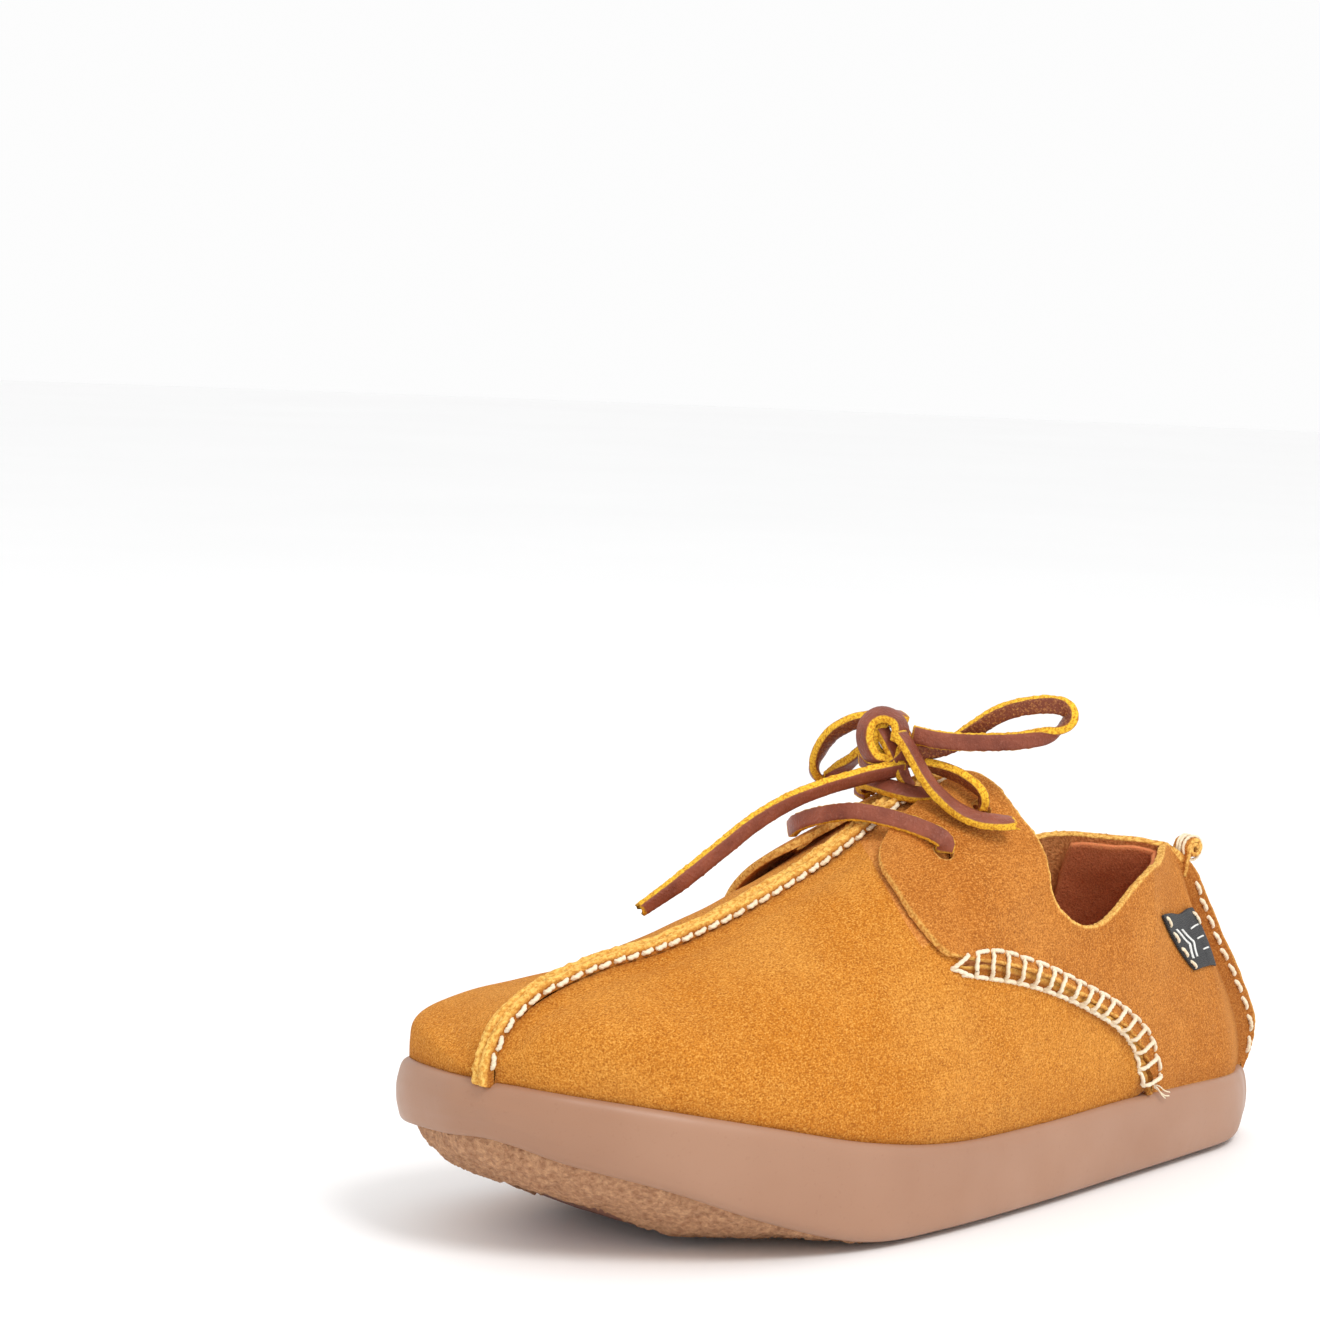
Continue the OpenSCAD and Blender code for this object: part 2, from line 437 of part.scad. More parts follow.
// ---- Lace ----
lace_sides = 8;
function frames(d, n) = [for (i = 0, f = unit(n - (n * d[0]) * d[0]); i < len(d);
    i = i + 1, f = i < len(d) ? unit(f - (f * d[i]) * d[i]) : f) f];
module tube(route, count) {
    e = extend(route);
    steps = len(route) - 1;
    p = [for (i = [0:count - 1]) along(e, steps * i / (count - 1))];
    d = [for (i = [0:count - 1]) unit(p[min(i + 1, count - 1)] - p[max(i - 1, 0)])];
    f = frames(d, [0.31, 0.17, 1]);
    points = [for (i = [0:count - 1]) for (j = [0:lace_sides - 1]) let (a = 360 * j / lace_sides)
              p[i] + (f[i] * cos(a) + cross(d[i], f[i]) * sin(a)) * lace_d / 2];
    sides = [for (i = [0:count - 2]) for (j = [0:lace_sides - 1]) let (n = (j + 1) % lace_sides,
             a = i * lace_sides + j, b = i * lace_sides + n)
             for (t = [[a, a + lace_sides, b], [b, a + lace_sides, b + lace_sides]]) t];
    ends = [for (j = [1:lace_sides - 2]) for (t = [[0, j, j + 1],
            [(count - 1) * lace_sides, (count - 1) * lace_sides + j + 1, (count - 1) * lace_sides + j]]) t];
    polyhedron(points, concat(sides, ends), convexity = 6);
}
lace_colour = [0.51, 0.27, 0.22];
module lace_lower_bar() { color(lace_colour) tube(LOWER_BAR, 12); }
module lace_upper_bar() { color(lace_colour) tube(UPPER_BAR, 11); }
module lace_loop_rear() { color(lace_colour) tube(LOOP_REAR, 20); }
module lace_loop_front() { color(lace_colour) tube(LOOP_FRONT, 14); }
module lace_tail_long() { color(lace_colour) tube(TAIL_LONG, 13); }
module lace_tail_short() { color(lace_colour) tube(TAIL_SHORT, 10); }
knot_r = 5.4;
module lace_knot() {
    color(lace_colour) translate(KNOT) rotate([90, 0, 35]) rotate_extrude($fn = 32)
        polygon([[0, -4], [knot_r - 2, -4], [knot_r, -2], [knot_r, 2], [knot_r - 2, 4], [0, 4]]);
}

// ---- The assembly ----
sole_sidewall();
crepe_tread();
forefoot_panel();
insole_board();
cork_footbed();
sock_liner();
vamp_lateral();
vamp_medial();
quarter_lateral();
quarter_medial();
heel_lining();
heel_curl();
woven_label();
thread_centre_seam();
thread_ladder_lateral();
thread_ladder_medial();
thread_heel_seam();
thread_label();
thread_heel_curl();
lace_lower_bar();
lace_upper_bar();
lace_knot();
lace_loop_rear();
lace_loop_front();
lace_tail_long();
lace_tail_short();
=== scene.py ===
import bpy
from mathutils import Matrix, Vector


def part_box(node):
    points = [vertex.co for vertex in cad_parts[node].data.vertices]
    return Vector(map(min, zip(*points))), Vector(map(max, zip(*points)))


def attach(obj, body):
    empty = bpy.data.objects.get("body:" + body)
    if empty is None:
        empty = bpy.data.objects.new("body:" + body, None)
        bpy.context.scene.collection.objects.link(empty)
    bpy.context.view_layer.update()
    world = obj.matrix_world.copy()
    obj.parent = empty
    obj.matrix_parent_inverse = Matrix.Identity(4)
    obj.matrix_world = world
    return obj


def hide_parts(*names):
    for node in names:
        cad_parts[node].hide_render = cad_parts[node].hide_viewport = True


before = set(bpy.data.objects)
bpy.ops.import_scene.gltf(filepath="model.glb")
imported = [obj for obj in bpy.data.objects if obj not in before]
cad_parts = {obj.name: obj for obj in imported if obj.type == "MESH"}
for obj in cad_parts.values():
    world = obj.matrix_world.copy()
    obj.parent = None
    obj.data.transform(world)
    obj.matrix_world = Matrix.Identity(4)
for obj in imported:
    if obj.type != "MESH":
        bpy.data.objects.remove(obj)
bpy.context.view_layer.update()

import math
import bpy
import bmesh
import numpy as np
from mathutils import Matrix, Vector, noise
from mathutils.bvhtree import BVHTree

MM = 0.001
SCENE = bpy.context.scene


# ---------------------------------------------------------------- camera
# Where the camera stands round the point AIM_HEIGHT above the origin, in degrees and metres.
CAMERA_AZIMUTH, CAMERA_ELEVATION, CAMERA_DISTANCE, AIM_HEIGHT = 45.042, 10.781, 0.996, 0.05
# How far it then turns aside, up and round its own axis, in degrees.
CAMERA_YAW, CAMERA_PITCH, CAMERA_ROLL = 3.724, 4.949, -2.276
SENSOR_WIDTH, LENS = 36, 102.65


def add_camera():
    az, el = math.radians(CAMERA_AZIMUTH), math.radians(CAMERA_ELEVATION)
    yaw, pitch, roll = (math.radians(a) for a in (CAMERA_YAW, CAMERA_PITCH, CAMERA_ROLL))
    back = Vector((math.cos(el) * math.cos(az), math.cos(el) * math.sin(az), math.sin(el)))
    place = Vector((0, 0, AIM_HEIGHT)) + back * CAMERA_DISTANCE
    ahead = -back
    right = ahead.cross(Vector((0, 0, 1))).normalized()
    turn = Matrix.Rotation(yaw, 3, "Z")
    ahead, right = turn @ ahead, turn @ right
    ahead = Matrix.Rotation(pitch, 3, right) @ ahead
    up = right.cross(ahead)
    tilt = Matrix.Rotation(roll, 3, ahead)
    right, up = tilt @ right, tilt @ up
    data = bpy.data.cameras.new("camera")
    data.sensor_width = SENSOR_WIDTH
    data.lens = LENS
    data.clip_start, data.clip_end = 0.05, 20
    cam = bpy.data.objects.new("camera", data)
    SCENE.collection.objects.link(cam)
    basis = Matrix((right, up, -ahead)).transposed().to_4x4()
    cam.matrix_world = Matrix.Translation(place) @ basis
    SCENE.camera = cam
    SCENE.view_settings.view_transform = "Standard"


add_camera()


# ---------------------------------------------------------------- node materials
def lin(r, g, b):
    return [((c / 255) / 12.92 if c <= 10 else ((c / 255 + 0.055) / 1.055) ** 2.4) for c in (r, g, b)] + [1.0]


class Shader:
    """A principled material and short ways to add nodes to it."""

    def __init__(self, name, **sockets):
        self.mat = bpy.data.materials.new(name)
        self.mat.use_nodes = True
        self.tree = self.mat.node_tree
        self.bsdf = self.tree.nodes["Principled BSDF"]
        for key, value in sockets.items():
            self.bsdf.inputs[key.replace("_", " ")].default_value = value
        self.coord = self.tree.nodes.new("ShaderNodeTexCoord").outputs["Object"]

    def put(self, socket, value):
        if isinstance(value, bpy.types.NodeSocket):
            self.tree.links.new(value, socket)
        else:
            socket.default_value = value

    def node(self, kind, inputs, output, **props):
        n = self.tree.nodes.new("ShaderNode" + kind)
        for key, value in props.items():
            setattr(n, key, value)
        for key, value in inputs.items():
            self.put(n.inputs[key], value)
        return n.outputs[output]

    def noise(self, scale, detail=3, rough=0.55, stretch=None):
        where = self.coord
        if stretch:
            where = self.node("Mapping", {"Vector": self.coord, "Scale": stretch}, 0)
        inputs = {"Vector": where, "Scale": scale, "Detail": detail, "Roughness": rough}
        return self.node("TexNoise", inputs, 0)

    def band(self, value, low, high, to_low=0.0, to_high=1.0):
        return self.node("MapRange", {0: value, 1: low, 2: high, 3: to_low, 4: to_high}, 0)

    def mix(self, factor, a, b, blend="MIX"):
        n = self.tree.nodes.new("ShaderNodeMix")
        n.data_type, n.blend_type = "RGBA", blend
        self.put(n.inputs[0], factor)
        self.put(n.inputs[6], a)
        self.put(n.inputs[7], b)
        return n.outputs[2]

    def math(self, op, a, b):
        return self.node("Math", {0: a, 1: b}, 0, operation=op)

    def tone(self):
        colour = self.node("Attribute", {}, "Color", attribute_name="tone")
        n = self.tree.nodes.new("ShaderNodeSeparateColor")
        self.put(n.inputs[0], colour)
        return n.outputs[0], n.outputs[1], n.outputs[2]

    def finish(self, colour, height=None, depth=0.0003, strength=0.8, roughness=None):
        self.put(self.bsdf.inputs["Base Color"], colour)
        if roughness is not None:
            self.put(self.bsdf.inputs["Roughness"], roughness)
        if height is not None:
            normal = self.node("Bump", {"Strength": strength, "Distance": depth, "Height": height}, 0)
            self.put(self.bsdf.inputs["Normal"], normal)
        return self.mat


def suede(name, base, deep, bright, inner, inner_deep, cut, shaded=lin(122, 58, 22)):
    """Napped leather: tone red is a cut edge, green the inner face, blue a place of painted shade."""
    s = Shader(name, Roughness=0.95, Sheen_Weight=0.12, Sheen_Roughness=0.5)
    s.bsdf.inputs["Specular IOR Level"].default_value = 0.1
    s.bsdf.inputs["Sheen Tint"].default_value = lin(255, 214, 150)
    edge, inside, shade = s.tone()
    broad = s.band(s.noise(30, 2), 0.36, 0.66)
    brushed = s.band(s.noise(210, 4, 0.65, (1.0, 0.5, 0.8)), 0.34, 0.68)
    nap = s.noise(1.0, 2, 0.7, (1700, 2600, 2200))
    grit = s.noise(1.0, 2, 0.6, (900, 1300, 1100))
    colour = s.mix(s.math("MULTIPLY", broad, 0.32), base, bright)
    colour = s.mix(s.math("MULTIPLY", brushed, 0.24), colour, deep)
    colour = s.mix(s.band(nap, 0.50, 0.66, 0.0, 0.70), colour, deep)
    colour = s.mix(s.band(nap, 0.48, 0.34, 0.0, 0.70), colour, bright)
    colour = s.mix(s.band(grit, 0.56, 0.70, 0.0, 0.32), colour, deep)
    colour = s.mix(s.band(grit, 0.42, 0.30, 0.0, 0.30), colour, bright)
    lined = s.mix(s.band(grit, 0.40, 0.62), inner, inner_deep)
    lined = s.mix(s.band(nap, 0.45, 0.68, 0.0, 0.5), lined, inner_deep)
    colour = s.mix(inside, colour, lined)
    # Painted shade: where the blue tone is set, the colour goes toward the shaded colour.
    colour = s.mix(s.math("MULTIPLY", shade, 0.85), colour, shaded)
    raw = s.mix(s.band(grit, 0.40, 0.62, 0.0, 0.75), cut, base)
    colour = s.mix(edge, colour, raw)
    height = s.math("ADD", s.math("MULTIPLY", nap, 0.8), s.math("MULTIPLY", grit, 0.9))
    return s.finish(colour, height, 0.0006, 0.8)


def make_materials():
    out = {}
    out["suede"] = suede("suede", lin(202, 125, 38), lin(148, 78, 18), lin(236, 172, 84),
                         lin(238, 166, 104), lin(196, 122, 70), lin(250, 202, 108))
    out["facing"] = suede("facing_suede", lin(188, 112, 40), lin(136, 72, 24), lin(228, 158, 80),
                          lin(238, 166, 104), lin(196, 122, 70), lin(246, 196, 106))
    out["lining"] = suede("lining_suede", lin(226, 130, 86), lin(180, 94, 60), lin(240, 156, 112),
                          lin(226, 130, 86), lin(180, 94, 60), lin(212, 132, 78))

    s = Shader("sidewall_rubber", Roughness=0.42, Coat_Weight=0.06, Coat_Roughness=0.4)
    s.bsdf.inputs["Specular IOR Level"].default_value = 0.42
    s.bsdf.inputs["Subsurface Weight"].default_value = 0.04
    s.bsdf.inputs["Subsurface Radius"].default_value = (0.004, 0.002, 0.001)
    cloud = s.band(s.noise(14, 4), 0.3, 0.7)
    speck = s.band(s.noise(900, 2), 0.62, 0.72)
    colour = s.mix(cloud, lin(170, 129, 103), lin(158, 116, 90))
    colour = s.mix(s.math("MULTIPLY", speck, 0.16), colour, lin(140, 94, 68))
    bumps, gloss = s.noise(300, 4), s.band(s.noise(60, 3), 0.3, 0.7, 0.36, 0.52)
    out["sidewall"] = s.finish(colour, bumps, 0.0002, 0.22, gloss)

    s = Shader("crepe", Roughness=0.85)
    crumb = s.node("TexVoronoi", {"Vector": s.coord, "Scale": 420.0}, 0)
    grain = s.noise(700, 5, 0.7)
    colour = s.mix(s.band(grain, 0.35, 0.7), lin(216, 166, 124), lin(158, 106, 72))
    colour = s.mix(s.band(crumb, 0.0, 0.5, 0.7, 0.0), colour, lin(150, 98, 66))
    out["crepe"] = s.finish(colour, s.math("ADD", crumb, grain), 0.0012, 1.0)

    s = Shader("panel_rubber", Roughness=0.5)
    cloud = s.band(s.noise(40, 4), 0.3, 0.7)
    colour = s.mix(cloud, lin(140, 86, 62), lin(108, 64, 46))
    out["panel"] = s.finish(colour, s.noise(900, 3), 0.0002, 0.5)

    s = Shader("waxed_thread", Roughness=0.55, Sheen_Weight=0.15)
    fibre = s.noise(1.0, 3, 0.6, (2200, 2200, 5200))
    soil = s.band(s.noise(90, 3), 0.35, 0.7)
    colour = s.mix(s.math("MULTIPLY", soil, 0.5), lin(250, 236, 208), lin(232, 208, 166))
    colour = s.mix(s.band(fibre, 0.5, 0.75, 0.0, 0.5), colour, lin(206, 178, 134))
    out["thread"] = s.finish(colour, fibre, 0.0002, 0.7)

    s = Shader("thong", Roughness=0.5)
    s.bsdf.inputs["Specular IOR Level"].default_value = 0.28
    edge, flesh, _ = s.tone()
    grain = s.noise(1300, 3)
    rough = s.noise(1.0, 3, 0.7, (1500, 1500, 1500))
    brown = s.mix(s.band(s.noise(120, 3), 0.35, 0.7), lin(148, 80, 58), lin(116, 58, 42))
    brown = s.mix(s.band(grain, 0.55, 0.75, 0.0, 0.35), brown, lin(176, 112, 92))
    back = s.mix(s.band(rough, 0.50, 0.66, 0.0, 0.75), lin(122, 62, 42), lin(196, 132, 72))
    gold = s.mix(s.band(rough, 0.42, 0.62), lin(250, 200, 58), lin(196, 128, 30))
    colour = s.mix(edge, s.mix(flesh, brown, back), gold)
    height = s.mix(edge, grain, rough)
    out["thong"] = s.finish(colour, height, 0.0006, 0.55, s.band(edge, 0.0, 1.0, 0.42, 0.9))

    s = Shader("woven_tape", Roughness=0.7, Sheen_Weight=0.1)
    warp, weft = (s.node("TexWave", {"Vector": s.coord, "Scale": scale, "Distortion": 0.4, "Detail": 1.0}, 1,
                         bands_direction=axis) for scale, axis in ((620.0, "X"), (560.0, "Z")))
    weave = s.math("MULTIPLY", warp, weft)
    colour = s.mix(s.band(weave, 0.1, 0.8), lin(13, 13, 15), lin(34, 34, 38))
    out["tape"] = s.finish(colour, weave, 0.0004, 0.8)

    s = Shader("mark_thread", Roughness=0.6)
    fibre = s.noise(1.0, 2, 0.6, (4000, 1200, 1200))
    colour = s.mix(s.band(fibre, 0.4, 0.7), lin(240, 240, 236), lin(196, 196, 192))
    out["mark"] = s.finish(colour, fibre, 0.0003, 0.7)

    s = Shader("sock_leather", Roughness=0.6)
    pore = s.node("TexVoronoi", {"Vector": s.coord, "Scale": 900.0}, 0)
    colour = s.mix(s.band(s.noise(50, 4), 0.35, 0.7), lin(172, 112, 68), lin(134, 80, 46))
    out["sock"] = s.finish(colour, pore, 0.0002, 0.5)

    s = Shader("fibre_board", Roughness=0.9)
    fibre = s.noise(1.0, 4, 0.7, (300, 1400, 1400))
    colour = s.mix(s.band(fibre, 0.4, 0.65), lin(214, 190, 146), lin(168, 138, 96))
    out["board"] = s.finish(colour, fibre, 0.0003, 0.6)

    s = Shader("cork", Roughness=0.9)
    cell = s.node("TexVoronoi", {"Vector": s.coord, "Scale": 380.0}, 0)
    colour = s.mix(s.band(cell, 0.1, 0.6), lin(196, 148, 98), lin(132, 88, 52))
    out["cork"] = s.finish(colour, cell, 0.0004, 0.7)

    s = Shader("studio_floor", Roughness=0.6)
    colour = s.mix(s.band(s.noise(3, 2), 0.3, 0.7), lin(252, 252, 252), lin(250, 250, 250))
    out["floor"] = s.finish(colour)
    return out


MAT = make_materials()


# ---------------------------------------------------------------- pieces from points in millimetres
def piece(name, verts, faces, mat, cad=(), tone=None):
    mesh = bpy.data.meshes.new(name)
    mesh.from_pydata((np.asarray(verts, float) * MM).tolist(), [], [list(map(int, f)) for f in faces])
    bm = bmesh.new()
    bm.from_mesh(mesh)
    bmesh.ops.recalc_face_normals(bm, faces=bm.faces)
    bm.to_mesh(mesh)
    bm.free()
    if tone is not None:
        layer = mesh.attributes.new("tone", "FLOAT_COLOR", "POINT")
        rgba = np.ones((len(mesh.vertices), 4), np.float32)
        rgba[:, :3] = np.clip(np.asarray(tone, float), 0, 1)
        layer.data.foreach_set("color", rgba.ravel())
    mesh.polygons.foreach_set("use_smooth", [True] * len(mesh.polygons))
    mesh.materials.append(MAT[mat])
    mesh.update()
    obj = bpy.data.objects.new(name, mesh)
    SCENE.collection.objects.link(obj)
    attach(obj, "root")
    if cad:
        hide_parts(*cad)
    return obj


def loop_faces(rows, k):
    """Quads between closed loops of k points."""
    return [(a + j, a + (j + 1) % k, a + k + (j + 1) % k, a + k + j)
            for a in range(0, (rows - 1) * k, k) for j in range(k)]


def tube_faces(rows, k):
    """The same, with one face over each end."""
    return loop_faces(rows, k) + [tuple(range(k)), tuple((rows - 1) * k + j for j in range(k))]


def slab(low, high):
    """A closed sheet between two grids of the same shape."""
    r, c = low.shape[:2]
    n = r * c
    faces = []
    for i in range(r - 1):
        for j in range(c - 1):
            a = i * c + j
            faces.append((a, a + 1, a + c + 1, a + c))
            faces.append((n + a, n + a + c, n + a + c + 1, n + a + 1))
    rim = [i * c for i in range(r)] + [(r - 1) * c + j for j in range(1, c)]
    rim += [i * c + c - 1 for i in range(r - 2, -1, -1)] + [j for j in range(c - 2, 0, -1)]
    for a, b in zip(rim, rim[1:] + rim[:1]):
        faces.append((a, b, n + b, n + a))
    return np.concatenate([low.reshape(-1, 3), high.reshape(-1, 3)]), faces


def grid(rows, cols):
    """Two arrays of the same shape: each row's value down it, and each column's value across it."""
    return rows[:, None] * np.ones((1, len(cols))), cols[None] * np.ones((len(rows), 1))


def steps(line):
    return np.linalg.norm(np.diff(line, axis=0), axis=1)


def run_along(line):
    """Length along a line from its first point to each of its points."""
    return np.concatenate([[0], np.cumsum(steps(line))])


def fuzz(points, size, amount, seed=0.0):
    """Smooth noise from -amount to amount at each point, with features of that size in mm."""
    flat = np.asarray(points, float).reshape(-1, 3) / size + seed
    vals = np.array([noise.noise(Vector(p)) for p in flat])
    return (vals * amount * 1.6).reshape(np.asarray(points).shape[:-1])


# ---------------------------------------------------------------- curves and the shoe's wall, as in part.scad
def extend(p):
    p = np.asarray(p, float)
    return np.concatenate([[2 * p[0] - p[1]], p, [2 * p[-1] - p[-2]]])


def along(e, t):
    t = np.asarray(t, float)
    i = np.clip(np.floor(t).astype(int), 0, len(e) - 4)
    u = t - i
    a, b, c, d = e[i], e[i + 1], e[i + 2], e[i + 3]
    if a.ndim > u.ndim:
        u = u[..., None]
    square, cube = 2 * a - 5 * b + 4 * c - d, 3 * b - a - 3 * c + d
    return 0.5 * (2 * b + (c - a) * u + square * u * u + cube * u ** 3)


def unit(a):
    return a / np.maximum(np.linalg.norm(a, axis=-1, keepdims=True), 1e-6)


def smooth_route(route, step=0.8):
    e = extend(route)
    fine = along(e, np.linspace(0, len(route) - 1, 60 * len(route)))
    d = run_along(fine)
    n = max(4, int(round(d[-1] / step)))
    want = np.linspace(0, d[-1], n + 1)
    return np.stack([np.interp(want, d, fine[:, k]) for k in range(3)], -1), want / d[-1]


SEAM_Y, RIDGE_W, RIDGE_H, FIN_H, SUEDE_T = 5, 2.4, 4.0, 4.5, 2.0
# How far the wall bulges over the sole, and where its foot stands on the sole's rim.
BULGE, RIM_INSET, FOOT_GAP = 2.5, 2.5, 0.8
# Sole outline from the toe to the heel: x, y, rim height, underside height.
LATERAL = [[141, 5, 44, 29], [137, 12, 43.5, 28], [127, 23, 42, 24], [107, 37, 38.5, 18], [82, 47, 33.5, 9],
           [52, 50.5, 27, 1], [21, 49, 23, 0], [-18, 43, 22, 0], [-58, 35, 22, 0], [-92, 28, 21, 0],
           [-117, 22, 20, 0], [-132, 12, 19, 0], [-138.5, 5, 18.5, 0]]
MEDIAL = [[141, 5, 44, 29], [143, -8, 44, 28], [135, -34, 42.5, 25], [110, -47.5, 38, 19],
          [84, -50.5, 33.5, 10.5], [52, -49.5, 27, 1], [22, -45, 23, 0], [-18, -36.5, 22, 0],
          [-58, -33, 22, 0], [-95, -33, 21, 0], [-116, -30, 20, 0], [-137, -14, 19, 0], [-138.5, 5, 18.5, 0]]
# Place along TOP that faces each of those stations.
PLACE = [0, 0.6, 2.2, 3.8, 5.1, 7, 9, 11.5, 13.2, 14.5, 15.5, 18.6, 21]
# Profile in the seam plane, x and z: up the toe, over the instep, down the heel.
TOP = [[138, 45], [136.5, 51], [132, 57.5], [123, 63], [107, 67.5], [87, 70.5], [70, 74.5], [53, 80],
       [37, 86], [21, 93.5], [8, 100.5], [-8, 107], [-28, 111], [-52, 110], [-80, 101], [-105, 80.5],
       [-113, 68], [-122, 54], [-130, 43], [-136, 33], [-137.5, 27], [-135.5, 18.7]]
# Panels, as places on the wall: s from toe to heel, v from the sole to the seam plane.
# Vamp behind the plain toe sections: lower edge s, v; middle s, v; upper edge s, v.
VAMP_BACK = [[0.48, 0, 0.455, 0.45, 0.45, 1], [0.54, 0, 0.475, 0.40, 0.465, 1],
             [0.60, 0, 0.49, 0.37, 0.48, 1], [0.65, 0, 0.50, 0.355, 0.49, 1],
             [0.688, 0.012, 0.505, 0.35, 0.50, 1], [0.677, 0.096, 0.508, 0.355, 0.507, 1],
             [0.65, 0.155, 0.51, 0.365, 0.515, 1], [0.614, 0.22, 0.511, 0.38, 0.523, 1],
             [0.576, 0.288, 0.512, 0.40, 0.53, 1], [0.537, 0.361, 0.512, 0.43, 0.537, 1],
             [0.513, 0.403, 0.514, 0.50, 0.544, 1], [0.52, 0.50, 0.522, 0.72, 0.552, 1],
             [0.535, 0.61, 0.54, 0.80, 0.562, 1], [0.555, 0.71, 0.558, 0.86, 0.573, 1],
             [0.578, 0.78, 0.58, 0.89, 0.586, 1], [0.60, 0.86, 0.601, 0.93, 0.60, 1]]
TOE_SECTIONS = [0.035, 0.07, 0.12, 0.18, 0.25, 0.32, 0.39]
# Quarter: lower edge s, v; upper edge s, v; share of the lift over the vamp; how nearly its upper edge
# is the heel fin.
QUARTER = [[0.568, 0.93, 0.578, 0.935, 1, 0.1], [0.545, 0.91, 0.582, 0.90, 1, 0.1],
           [0.516, 0.88, 0.584, 0.86, 1, 0.1], [0.498, 0.84, 0.586, 0.81, 1, 0.1],
           [0.490, 0.78, 0.587, 0.75, 1, 0.1], [0.488, 0.68, 0.589, 0.68, 1, 0.1],
           [0.490, 0.58, 0.594, 0.61, 1, 0.1], [0.499, 0.47, 0.596, 0.55, 1, 0.1],
           [0.512, 0.42, 0.595, 0.50, 1, 0.1], [0.547, 0.35, 0.597, 0.46, 0.3, 0.1],
           [0.581, 0.286, 0.603, 0.41, 0, 0.1], [0.616, 0.223, 0.615, 0.372, 0, 0.1],
           [0.651, 0.16, 0.632, 0.357, 0, 0.1], [0.678, 0.1, 0.650, 0.372, 0, 0.1],
           [0.693, 0.045, 0.672, 0.43, 0, 0.1], [0.697, 0, 0.700, 0.515, 0, 0.1],
           [0.76, 0, 0.732, 0.61, 0, 0.1], [0.82, 0, 0.758, 0.76, 0, 0.1], [0.87, 0, 0.775, 0.90, 0, 0.1],
           [0.92, 0, 0.79, 1, 0, 0.25], [0.95, 0, 0.86, 1, 0, 1], [0.975, 0, 0.93, 1, 0, 1],
           [0.993, 0, 0.985, 1, 0, 1]]
# How much further forward the inner facing reaches in s, and how much higher its collar stands in v.
MEDIAL_REACH, MEDIAL_RISE = 0.016, 0.07
# The wall's shape at the toe and at the heel.
TOE_FULL, TOE_ROUND, TOE_DROOP, TOE_INSET = 1.5, 0.25, 0.5, 1.5
HEEL_KEEL, HEEL_FLAT, HEEL_TUCK = 1.6, 0.8, 0.25
# Where in s the toe's fullness and its inset end, and where its droop starts to fade and ends.
TOE_SHARE, INSET_SHARE, ROOF_FULL, ROOF_SHARE = 0.3, 0.12, 0.1, 0.45
# Where along TOP the heel's shape begins, and over how many places it comes in.
HEEL_FROM, HEEL_PLACES = 13.8, 1.2
# Shares for the curve's handles, and the height in mm from which the wall's bulge is full.
CLIMB_SHARE, CLIMB_HEEL, REACH_SHARE, DROOP_SHARE, FULL_HEIGHT = 0.55, 0.15, 0.6, 0.7, 30
# Heel lining: lower edge s, v; upper edge s, v.
LINING = [[0.725, 0.12, 0.715, 0.49], [0.78, 0.08, 0.742, 0.59], [0.84, 0.06, 0.765, 0.73],
          [0.89, 0.05, 0.782, 0.86], [0.93, 0.05, 0.81, 0.92], [0.955, 0.06, 0.87, 0.92],
          [0.975, 0.1, 0.93, 0.92]]
# Ladder seam: its upper and lower rows of holes and its middle, s and v.
LADDER_UP = [[0.512, 0.42], [0.542, 0.387], [0.568, 0.334], [0.594, 0.285], [0.619, 0.243], [0.645, 0.205],
             [0.67, 0.166], [0.695, 0.114], [0.711, 0.03]]
LADDER_LOW = [[0.513, 0.375], [0.539, 0.325], [0.563, 0.284], [0.586, 0.246], [0.609, 0.211], [0.631, 0.176],
              [0.653, 0.139], [0.673, 0.088], [0.686, 0.015]]
LADDER_MID = [[0.514, 0.408], [0.542, 0.357], [0.5785, 0.287], [0.615, 0.2215], [0.651, 0.158],
              [0.6775, 0.098], [0.6905, 0.03], [0.693, 0]]
# Lace holes in the facings, and the label's corners on the outer quarter, s and v.
EYELETS = [[0.532, 0.698], [0.568, 0.753]]
LABEL = [[0.715, 0.41], [0.769, 0.342], [0.815, 0.64], [0.835, 0.43]]
STATIONS = len(LATERAL) - 1
OUTLINE = {1: np.array([MEDIAL[1]] + LATERAL + [MEDIAL[STATIONS - 1]], float),
           -1: np.array([LATERAL[1]] + MEDIAL + [LATERAL[STATIONS - 1]], float)}
PLACES, TOPS = extend(PLACE), extend(TOP)


def sole_at(side, s):
    return along(OUTLINE[side], np.asarray(s, float) * STATIONS)


def outward(side, s):
    e = 0.002
    t = unit(sole_at(side, s + e)[..., :2] - sole_at(side, s - e)[..., :2])
    return side * np.stack([t[..., 1], -t[..., 0]], -1)


def top_at(tau):
    p = along(TOPS, tau)
    return np.stack([p[..., 0], np.full(p[..., 0].shape, float(SEAM_Y)), p[..., 1]], -1)


def top_normal(tau):
    t = unit(top_at(tau + 0.02) - top_at(tau - 0.02))
    return np.stack([t[..., 2], 0 * t[..., 0], -t[..., 0]], -1)


